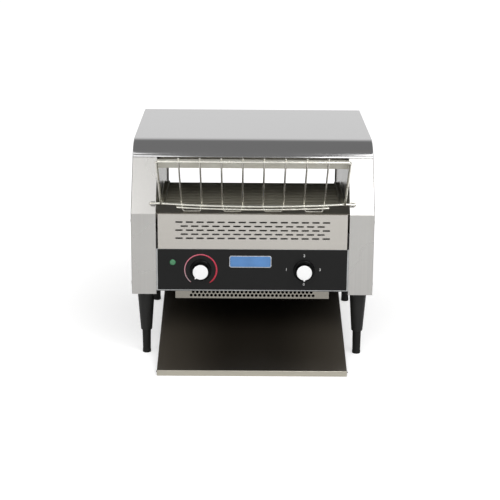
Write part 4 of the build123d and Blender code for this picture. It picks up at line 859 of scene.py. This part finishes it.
def rack_tubes():
    """Round bars of the rack: rods (frame with its pins, bowed rod, lower cross rod) and wire loops."""
    pin = INNER_X + RACK_PIN_REACH
    frame_rod = [(-pin, *RACK_LOW), (-RACK_HALF, *RACK_LOW), (-RACK_HALF, *RACK_TOP)]
    frame_rod += [(-x, back, z) for x, back, z in frame_rod[::-1]]
    rods = [tube(rounded_path([from_back(*p) for p in frame_rod], (RACK_BEND,) * 4), RACK_ROD, (0, 0.4, 0.6))]
    rods.append(tube(bowed_path(RACK_HALF, RACK_LOW[0], 0), RACK_CROSS))
    loops = []
    knee = RACK_LOW[0] + WIRE_LIFT * RACK_UP
    lift = WIRE_LIFT * RACK_OUT
    tip = RACK_TOP + np.array([WIRE_LIFT * RACK_UP - RACK_TIP * RACK_OUT, lift + RACK_TIP * RACK_UP])
    foot = SHELF_TOP_Z + RACK_WIRE + SEAT_GAP
    for x0, x1 in rack_wire_x().reshape(-1, 2):
        loop = [(x0, *tip), (x0, knee, bow_z(x0) + lift), (x0 + RACK_FOOT_TAPER, knee, foot)]
        loop += [(x1 - RACK_FOOT_TAPER, knee, foot), (x1, knee, bow_z(x1) + lift), (x1, *tip)]
        loops.append(tube(rounded_path([from_back(*p) for p in loop], (RACK_FOOT_BEND,) * 4), RACK_WIRE))
    cross_back = knee - RACK_WIRE - RACK_WIRE + RACK_SINK
    cross_lift = SHELF_TOP_Z + RACK_LOW_ROD_UP - bow_z(0)
    return rods + [tube(bowed_path(RACK_LOW_ROD_HALF, cross_back, cross_lift), RACK_WIRE)], loops


def rack_welds(size):
    """Small beads where the wires cross the rods and where the bowed rod meets the frame."""
    mid = 0.5 * WIRE_LIFT
    top = RACK_TOP + mid * np.array([RACK_UP, RACK_OUT])
    at_top = [from_back(x, *top) for x in rack_wire_x()]
    at_bow = [from_back(x, RACK_LOW[0] + mid * RACK_UP, bow_z(x) + mid * RACK_OUT) for x in rack_wire_x()]
    at_side = [from_back(sign * (RACK_HALF - RACK_ROD * 0.6), *RACK_LOW) for sign in (-1, 1)]
    beads = ellipsoids(at_top + at_bow, (size, size * 0.62, size * 0.62))
    return beads + ellipsoids(at_side, (size, size * 1.15, size * 1.15))


class TOASTER_OT_rack(bpy.types.Operator):
    """Wire rack that the bread slides down"""
    bl_idname = "toaster.rack"
    bl_label = "Feed rack"

    def execute(self, context):
        rack = context.scene.toaster_rack
        rods, loops = rack_tubes()
        # Painted highlight: the rods get a brighter, creamier plating than the wires for the light they
        # catch.
        bright = self.plating("rack_rod_painted_highlight", rack.rod_colour, 0.24)
        dress(grids_piece("rack_rods", rods), "rack", "rack_chrome", bright, "feed_rack")
        wire = self.plating("rack_wire_plating", rack.colour, 0.12)
        dress(grids_piece("rack_wires", loops), "rack", "rack_chrome", wire)
        weld = Finish("rack_weld", [c * 0.75 for c in rack.colour], 0.35, metallic=1.0)
        grain = weld.noise((900.0,) * 3, detail=4.0)
        weld.shade(grain, 0.2).relief(grain, 0.08 * MM)
        dress(grids_piece("rack_weld_beads", rack_welds(rack.weld)), "rack", "rack_chrome", weld.material)
        return {"FINISHED"}

    def plating(self, name, colour, roughness):
        """Bright plating over drawn wire, a little clouded."""
        plated = Finish(name, colour, roughness, metallic=1.0)
        cloud = plated.noise((60.0, 60.0, 60.0), detail=3.0)
        plated.shade(cloud, 0.04).gloss(cloud, roughness * 0.85, roughness * 1.2)
        plated.relief(plated.noise((300.0,) * 3), 0.0003 * MM)
        return plated.material


# ================================================================ legs
def leg_profile():
    """Closed (radius, height) outline of a leg: rounded top flange, collar, taper and an open lower mouth."""
    corners = [(0, 132.0), (17.0, 132.0), (17.0, 129.5), (16.4, 127.5), (16.2, 119.0)]
    corners += [(11.2, 48.5), (9.2, 48.5), (9.2, 60.0), (0, 60.0)]
    radii = np.array([0.6, 0.8, 1.0, 2.0, 0.7, 0.4, 0.1])
    return rounded_profile(np.array(corners) * MM, radii * MM)


def foot_profile():
    """Closed (radius, height) outline of a levelling foot: rubber end, neck, sleeve and plain stud."""
    corners = [(0, 0), (8.3, 0), (8.3, 6.0), (7.7, 6.6), (7.9, 8.0), (8.5, 44.0), (8.5, 52.0)]
    corners += [(5.0, 52.0), (5.0, 104.0), (0, 104.0)]
    radii = np.array([0.9, 0.3, 0.2, 0.6, 3.0, 0.4, 0.3, 0.4])
    return rounded_profile(np.array(corners) * MM, radii * MM)


class TOASTER_OT_legs(bpy.types.Operator):
    """Tapered legs with levelling feet"""
    bl_idname = "toaster.legs"
    bl_label = "Legs and feet"

    def execute(self, context):
        colour = context.scene.toaster_legs.colour
        plastic = moulded("leg_moulding", colour, 0.40, shine=0.3)
        rubber = moulded("foot_rubber", [c * 0.8 for c in colour], 0.55, grain=1200.0, shine=0.25)
        for corner in CORNERS:
            low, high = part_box(f"foot_{corner}")
            centre = ((low.x + high.x) / 2, (low.y + high.y) / 2, 0.0)
            leg = grids_piece(f"leg_{corner}", [turned(leg_profile(), centre, (0, 0, 1))])
            replaced = ("leg_cones",) if corner == CORNERS[0] else ()
            dress(leg, "housing", "black_leg", plastic, *replaced)
            foot = grids_piece(f"foot_sleeve_{corner}", [turned(foot_profile(), centre, (0, 0, 1))])
            dress(foot, f"foot_{corner}_leveller", "black_leg", rubber, f"foot_{corner}")
        return {"FINISHED"}


# ================================================================ controls
def knob_profile():
    """Closed (radius, height) outline of a knob from its back to its recessed face."""
    rim, face = KNOB_STANDOFF, KNOB_FRONT
    corners = [(0, rim), (21.0 * MM, rim), (21.0 * MM, rim + 2.0 * MM)]
    corners += [(19.2 * MM, rim + 3.5 * MM), (17.0 * MM, rim + 3.7 * MM)]
    corners += [(16.0 * MM, face), (14.8 * MM, face), (14.8 * MM, face - 1.0 * MM), (0, face - 1.0 * MM)]
    radii = np.array([0.4, 0.8, 0.8, 0.8, 0.5, 0.2, 0.1]) * MM
    path = rounded_path([(radius, 0.0, height) for radius, height in corners], radii, 5)
    return divided(path, 1.0 * MM)[:, [0, 2]]


def knob_flutes(angle, reach, height):
    """Radius less a scallop: a depth times a sharpened cosine, faded out at the skirt and at the face."""
    start, end = KNOB_STANDOFF + 3.9 * MM, KNOB_FRONT - 0.6 * MM
    share = np.clip((height - start) / (1.5 * MM), 0, 1) * np.clip((end - height) / (0.8 * MM) + 0.4, 0, 1)
    wave = np.clip(np.cos(KNOB_FLUTES * angle), 0, 1) ** 1.5
    outside = reach > DISC_RADIUS + 0.5 * MM
    return reach - 1.0 * MM * share * wave * outside


def disc_profile():
    """Closed (radius, height) outline of a knob's bright disc, slightly domed with a soft rim."""
    low, face = KNOB_FRONT - 1.0 * MM, KNOB_FRONT
    corners = [(0, low), (DISC_RADIUS, low), (DISC_RADIUS, face)]
    corners += [(DISC_RADIUS - 1.2 * MM, face + 0.45 * MM), (0, face + 0.8 * MM)]
    return rounded_profile(corners, [0.1 * MM, 0.4 * MM, 0.6 * MM])


def pointer_block(x, angle, length, width):
    """Nib that points outwards past the disc's rim. Its section is an ellipse whose width goes as
    w (1 - 0.85 u) along it and closes at both ends.
    """
    along = np.linspace(0, 1, 9)[:, None]
    around = round_angles(12)[None]
    narrow = width * (1 - 0.85 * along) * np.sqrt(np.clip(1 - (2 * along - 1) ** 12, 0, 1))
    out = DISC_RADIUS - 0.4 * length + along * length
    side = narrow / 2 * np.cos(around)
    lift = 0.1 * MM + 0.9 * MM * np.sin(around) * np.sqrt(narrow / width)
    radial, across = np.array([cos(angle), sin(angle)]), np.array([-sin(angle), cos(angle)])
    px = x + out * radial[0] + side * across[0]
    pz = KNOB_Z + out * radial[1] + side * across[1]
    return np.stack([px, FRONT_Y - KNOB_FRONT - lift + 0 * px, pz], axis=-1)


def lamp_profile():
    """Closed outline of the lamp's lens: a low dome on a narrow collar."""
    angle = np.linspace(0, pi / 2, 12)[1:]
    rim = [(0, 0.0), (5.7 * MM, 0.0), (5.7 * MM, 0.7 * MM)]
    dome = [(5.1 * MM * cos(a) + 0.2 * MM * (a < 1.5), 0.7 * MM + 1.5 * MM * sin(a)) for a in angle]
    return rim + dome


def arc_points(radius, angle):
    """Points round the speed knob's axis, as (x, z), at a radius that may change with the angle."""
    return np.stack([-KNOB_X + radius * np.cos(angle), KNOB_Z + radius * np.sin(angle)], axis=1)


def heat_arc(controls):
    """Printed arc round the speed knob that widens on its way, with its share of the way as an attribute."""
    start, end = ARC_START, ARC_END
    way = np.linspace(0, 1, 97)
    half = controls.arc_width / 2 * (0.75 + 0.95 * way) * np.clip(12 * (1 - way) + 0.3, 0, 1)
    angle = start + (end - start) * way
    low, high = (arc_points(controls.arc_radius + side * half, angle) for side in (-1, 1))
    piece = grid_piece("heat_arc", flat_print(low, high), wrap=True)
    places = np.empty(len(piece.data.vertices) * 3)
    piece.data.vertices.foreach_get("co", places)
    x, _, z = places.reshape(-1, 3).T
    turn = (start - np.arctan2(z - KNOB_Z, x + KNOB_X)) % (2 * pi)
    share = piece.data.attributes.new("along", "FLOAT", "POINT")
    share.data.foreach_set("value", (turn / (start - end)).astype(np.float32))
    return piece


def round_rectangle(half_width, half_height, radius, steps=9):
    """Outline of a rectangle with round corners, as (x, z) points round its middle."""
    angle = np.arange(4 * steps) // steps * pi / 2 + np.tile(np.linspace(0, pi / 2, steps), 4)
    middle = np.repeat(np.array([(1, 1), (-1, 1), (-1, -1), (1, -1)]), steps, 0)
    middle = middle * (half_width - radius, half_height - radius)
    return middle + radius * np.stack([np.cos(angle), np.sin(angle)], axis=1)


def plate_surface(half_width, half_height, radius, edge, height):
    """Plate: rings of its outline from the rim, over a rounded edge, in to a flat line along its middle."""
    rings = []
    steps = (1, 0), (0, 0), (0, height * 0.6), (edge * 0.3, height * 0.9), (edge, height), (1, height)
    for inset, lift in steps:
        if inset == 1:
            ring = round_rectangle(half_width, half_height, radius) * (1, 0)
        else:
            ring = round_rectangle(half_width - inset, half_height - inset, radius - inset)
        ring = ring + PLATE_PLACE
        rings.append(np.stack([ring[:, 0], np.full(len(ring), FASCIA_LOW.y - lift), ring[:, 1]], axis=1))
    return np.stack(rings)


def number_piece(name, text, x, z, height):
    """One printed number on the fascia, as a thin closed mesh."""
    curve = bpy.data.curves.new(name, "FONT")
    curve.body = text
    curve.size = height
    curve.extrude = PRINT_THICK / 2
    curve.resolution_u = 4
    curve.align_x, curve.align_y = "CENTER", "CENTER"
    holder = new_object(name + "_curve", curve)
    bpy.context.view_layer.update()
    mesh = bpy.data.meshes.new_from_object(holder.evaluated_get(bpy.context.evaluated_depsgraph_get()))
    bpy.data.objects.remove(holder)
    mesh.transform(Matrix.Translation((x, FASCIA_LOW.y - PRINT_THICK / 2, z)) @ FACES_FRONT)
    mesh.name = name
    return new_object(name, mesh)


class TOASTER_OT_knobs(bpy.types.Operator):
    """Fluted knobs with bright discs"""
    bl_idname = "toaster.knobs"
    bl_label = "Knobs"

    def execute(self, context):
        black = moulded("knob_moulding", (0.003, 0.003, 0.003), 0.26, depth=0.004 * MM, shine=0.12)
        bright = Finish("knob_disc", context.scene.toaster_controls.disc_colour, 0.3)
        rings = bright.noise((2500.0, 40.0, 2500.0), detail=2.0)
        bright.gloss(rings, 0.24, 0.36).shade(rings, 0.02)
        for name, x, angle in (("speed", -KNOB_X, ARC_START), ("selector", KNOB_X, SELECTOR_ANGLE)):
            centre, body = (x, FRONT_Y, KNOB_Z), f"{name}_dial"
            shape = turned(knob_profile(), centre, (0, -1, 0), 160, knob_flutes)
            skirt = grids_piece(f"{name}_knob_body", [shape])
            dress(skirt, body, "knob_black", black, f"{name}_knob")
            disc = grids_piece(f"{name}_knob_disc", [turned(disc_profile(), centre, (0, -1, 0))])
            dress(disc, body, "cap_silver", bright.material, f"{name}_knob_cap")
            pointer = grids_piece(f"{name}_pointer", [pointer_block(x, angle, POINTER_LENGTH, POINTER_WIDTH)])
            dress(pointer, body, "cap_silver", bright.material)
            cover((f"{name}_spindle",), turned_metal(f"{name}_brass", (0.55, 0.40, 0.18), 0.3))
        return {"FINISHED"}


class TOASTER_OT_markings(bpy.types.Operator):
    """Fascia with its printed arc, plain numbers, blank plate and pilot lamp"""
    bl_idname = "toaster.markings"
    bl_label = "Fascia and markings"

    def execute(self, context):
        controls = context.scene.toaster_controls
        cover(("control_fascia",), enamelled("fascia_black", controls.fascia_colour, 0.33, shine=0.22))
        arc = Finish("arc_ink", (0.5, 0.05, 0.08), 0.5)
        share = arc.node("ShaderNodeAttribute")
        share.attribute_name = "along"
        stops = (
            (0.0, (0.50, 0.40, 0.42)), (0.33, (0.55, 0.15, 0.20)),
            (0.62, (0.55, 0.04, 0.08)), (1.0, (0.45, 0.02, 0.04)),
        )
        arc.link(arc.ramp(share.outputs["Fac"], *stops), arc.shader.inputs["Base Color"])
        arc.relief(arc.noise((900.0,) * 3), 0.003 * MM)
        dress(heat_arc(controls), "housing", "black_fascia", arc.material)
        white = Finish("white_ink", (0.72, 0.72, 0.72), 0.5)
        white.shade(white.noise((700.0,) * 3), 0.06)
        reach = (0, -28.2 * MM), (-34.5 * MM, 1.8 * MM), (0, 30.0 * MM), (31.0 * MM, 1.8 * MM)
        for number, (dx, dz) in enumerate(reach):
            name, text = f"selector_number_{number}", str(number)
            piece = number_piece(name, text, KNOB_X + dx, KNOB_Z + dz, controls.number_height)
            dress(piece, "housing", "black_fascia", white.material)
        self.name_plate(controls)
        self.lamp(controls)
        return {"FINISHED"}

    def name_plate(self, controls):
        """Blank enamelled plate with a bright rim."""
        rim = turned_metal("plate_rim", (0.62, 0.64, 0.66), 0.28)
        frame_rows = plate_surface(41.0 * MM, 12.0 * MM, 4.5 * MM, 0.5 * MM, 0.6 * MM)
        dress(grids_piece("plate_rim", [frame_rows]), "housing", "cap_silver", rim)
        enamel = Finish("plate_enamel", controls.plate_colour, 0.25)
        cloud = enamel.noise((30.0,) * 3, detail=2.0)
        enamel.shade(cloud, 0.10).relief(enamel.noise((500.0,) * 3), 0.004 * MM)
        field_rows = plate_surface(39.6 * MM, 10.6 * MM, 3.4 * MM, 0.35 * MM, 0.75 * MM)
        field = grids_piece("plate_field", [field_rows])
        dress(field, "housing", "black_fascia", enamel.material)

    def lamp(self, controls):
        """Green lens with a faint, even glow."""
        lens = Finish("lamp_lens", controls.lamp_colour, 0.18)
        lens.set("Coat Weight", 0.6)
        lens.set("Emission Color", (*controls.lamp_colour, 1.0))
        lens.set("Emission Strength", 0.35)
        facets = lens.noise((700.0,) * 3, detail=1.0)
        lens.shade(facets, 0.3).relief(facets, 0.05 * MM)
        dome = grids_piece("lamp_lens", [turned(lamp_profile(), (LAMP_X, FRONT_Y, LAMP_Z), (0, -1, 0), 40)])
        dress(dome, "housing", "lamp_green", lens.material, "pilot_lens")


# ================================================================ stage
def floor_material(colour):
    """Pale floor: its own colour under the lamps, with a glow that lifts it to white for the camera. Near the
    machine that glow is weaker, so that the soft shadow shows. Reflections see little of it.
    """
    finish = Finish("studio_floor", colour, 0.7)
    finish.set("Specular IOR Level", 0.1)
    finish.set("Emission Color", (1.0, 1.0, 1.0, 1.0))
    reach = finish.node("ShaderNodeVectorMath")
    reach.operation = "LENGTH"
    finish.link(finish.coords((1.0, 1.0, 1.0)), reach.inputs[0])
    near = finish.between(reach.outputs["Value"], NEAR_FLOOR_GLOW, FAR_FLOOR_GLOW, NEAR_FLOOR, FAR_FLOOR)
    rays = finish.node("ShaderNodeLightPath")
    glow = finish.node("ShaderNodeMath")
    glow.operation = "MULTIPLY"
    finish.link(rays.outputs["Is Camera Ray"], glow.inputs[0])
    finish.link(near, glow.inputs[1])
    for ray, strength in (("Is Glossy Ray", 0.05), ("Is Transmission Ray", 0.4)):
        share = finish.node("ShaderNodeMath")
        share.operation = "MULTIPLY_ADD"
        share.inputs[1].default_value = strength
        finish.link(rays.outputs[ray], share.inputs[0])
        finish.link(glow.outputs[0], share.inputs[2])
        glow = share
    finish.link(glow.outputs[0], finish.shader.inputs["Emission Strength"])
    return finish.material


def studio_world(fill):
    """Even fill for diffuse light, plain white for the camera, and for reflections a dim room with a pale
    backdrop. The backdrop is low behind the toaster, where Y - 0.9 Z is large, and the room is brighter again
    in front, where Y is below -0.6.
    """
    world = bpy.data.worlds.new("studio")
    world.use_nodes = True
    nodes, links = world.node_tree.nodes, world.node_tree.links
    direction = nodes.new("ShaderNodeTexCoord")
    along = nodes.new("ShaderNodeVectorMath")
    along.operation = "DOT_PRODUCT"
    along.inputs[1].default_value = (0.0, 1.0, -0.9)
    links.new(direction.outputs["Generated"], along.inputs[0])
    level = nodes.new("ShaderNodeMapRange")
    level.interpolation_type = "SMOOTHSTEP"
    limits = "From Min", "From Max", "To Min", "To Max"
    for socket, value in zip(limits, (-0.05, 0.62, ROOM_LEVEL, BACKDROP_LEVEL)):
        level.inputs[socket].default_value = value
    links.new(along.outputs["Value"], level.inputs["Value"])
    front = nodes.new("ShaderNodeMapRange")
    for socket, value in zip(limits, (-0.60, -0.74, 0.0, FRONT_LEVEL)):
        front.inputs[socket].default_value = value
    split = nodes.new("ShaderNodeSeparateXYZ")
    links.new(direction.outputs["Generated"], split.inputs["Vector"])
    links.new(split.outputs["Y"], front.inputs["Value"])
    total = nodes.new("ShaderNodeMath")
    links.new(level.outputs["Result"], total.inputs[0])
    links.new(front.outputs["Result"], total.inputs[1])
    rays = nodes.new("ShaderNodeLightPath")
    even = nodes["Background"]
    room, white = nodes.new("ShaderNodeBackground"), nodes.new("ShaderNodeBackground")
    even.inputs["Color"].default_value = white.inputs["Color"].default_value = (1.0, 1.0, 1.0, 1.0)
    even.inputs["Strength"].default_value = fill
    links.new(total.outputs["Value"], room.inputs["Color"])
    shader = even
    for ray, seen in (("Is Glossy Ray", room), ("Is Camera Ray", white)):
        mixed = nodes.new("ShaderNodeMixShader")
        links.new(rays.outputs[ray], mixed.inputs["Fac"])
        links.new(shader.outputs[0], mixed.inputs[1])
        links.new(seen.outputs[0], mixed.inputs[2])
        shader = mixed
    links.new(shader.outputs[0], nodes["World Output"].inputs["Surface"])
    return world


def softbox(name, place, target, size, power):
    """Round lamp at a place, turned to face a target."""
    light = bpy.data.lights.new(name, "AREA")
    light.shape = "DISK"
    light.size = size
    light.energy = power
    lamp = new_object(name, light)
    place, target = np.array(place), np.array(target)
    away = (place - target) / np.linalg.norm(place - target)
    side = np.cross((0, 0, 1), away)
    side /= np.linalg.norm(side)
    turn = np.eye(4)
    turn[:3, 0], turn[:3, 1], turn[:3, 2], turn[:3, 3] = side, np.cross(away, side), away, place
    lamp.matrix_world = Matrix(turn.tolist())
    return lamp


class TOASTER_OT_stage(bpy.types.Operator):
    """Floor, soft light and the camera"""
    bl_idname = "toaster.stage"
    bl_label = "Stage"

    def execute(self, context):
        stage = context.scene.toaster_stage
        corners = FLOOR_HALF * np.array([(-1, -1, 0), (1, -1, 0), (1, 1, 0), (-1, 1, 0)])
        floor = put_mesh("floor", corners, np.array([[0, 1, 2, 3]]), outward=False)
        floor.data.materials.append(floor_material(stage.floor_colour))
        for (name, place), power in zip(SOFTBOXES, stage.softbox_power):
            softbox(name, place, (place[0] * 0.3, 0.0, AIM_HEIGHT), SOFTBOX_SIZE, power)
        key = softbox("key", KEY_PLACE, (0.0, 0.0, AIM_HEIGHT), KEY_SIZE, stage.key_power)
        key.visible_glossy = False
        context.scene.world = studio_world(stage.fill)
        context.scene.view_settings.view_transform = "Standard"
        self.camera(context, stage)
        return {"FINISHED"}

    def camera(self, context, stage):
        """Camera at the viewing angle, with a long lens and no shift."""
        tilt, roll, turn = stage.camera_turn
        data = bpy.data.cameras.new("camera")
        data.sensor_width = 36.0
        data.lens = stage.lens
        data.clip_end = 60.0
        camera = new_object("camera", data)
        spin = Matrix.Rotation(turn, 4, "Z") @ Matrix.Rotation(pi / 2 + tilt, 4, "X")
        spin = spin @ Matrix.Rotation(roll, 4, "Z")
        camera.matrix_world = Matrix.Translation(stage.camera_place) @ spin
        context.scene.camera = camera


# ================================================================ add-on
OPERATORS = (
    TOASTER_OT_stage,
    TOASTER_OT_hood,
    TOASTER_OT_covers,
    TOASTER_OT_hot_zone,
    TOASTER_OT_drive,
    TOASTER_OT_electrics,
    TOASTER_OT_tray,
    TOASTER_OT_rack,
    TOASTER_OT_legs,
    TOASTER_OT_knobs,
    TOASTER_OT_markings,
)


class TOASTER_PT_panel(bpy.types.Panel):
    """Lists the pieces of the toaster and their settings"""
    bl_idname = "TOASTER_PT_panel"
    bl_label = "Conveyor toaster"
    bl_space_type = "VIEW_3D"
    bl_region_type = "UI"
    bl_category = "Toaster"

    def draw(self, context):
        for operator in OPERATORS:
            self.layout.operator(operator.bl_idname)
        for name, group in SETTINGS.items():
            box = self.layout.box()
            for field in group.__annotations__:
                box.prop(getattr(context.scene, name), field)


def register():
    for group in SETTINGS.values():
        bpy.utils.register_class(group)
    for operator in OPERATORS:
        bpy.utils.register_class(operator)
    bpy.utils.register_class(TOASTER_PT_panel)
    for name, group in SETTINGS.items():
        setattr(bpy.types.Scene, name, bpy.props.PointerProperty(type=group))


def unregister():
    for name in SETTINGS:
        delattr(bpy.types.Scene, name)
    for kind in (TOASTER_PT_panel, *OPERATORS, *SETTINGS.values()):
        bpy.utils.unregister_class(kind)


def main():
    """Register the add-on and build every piece."""
    register()
    for operator in OPERATORS:
        group, action = operator.bl_idname.split(".")
        getattr(getattr(bpy.ops, group), action)()


if __name__ == "__main__":
    main()
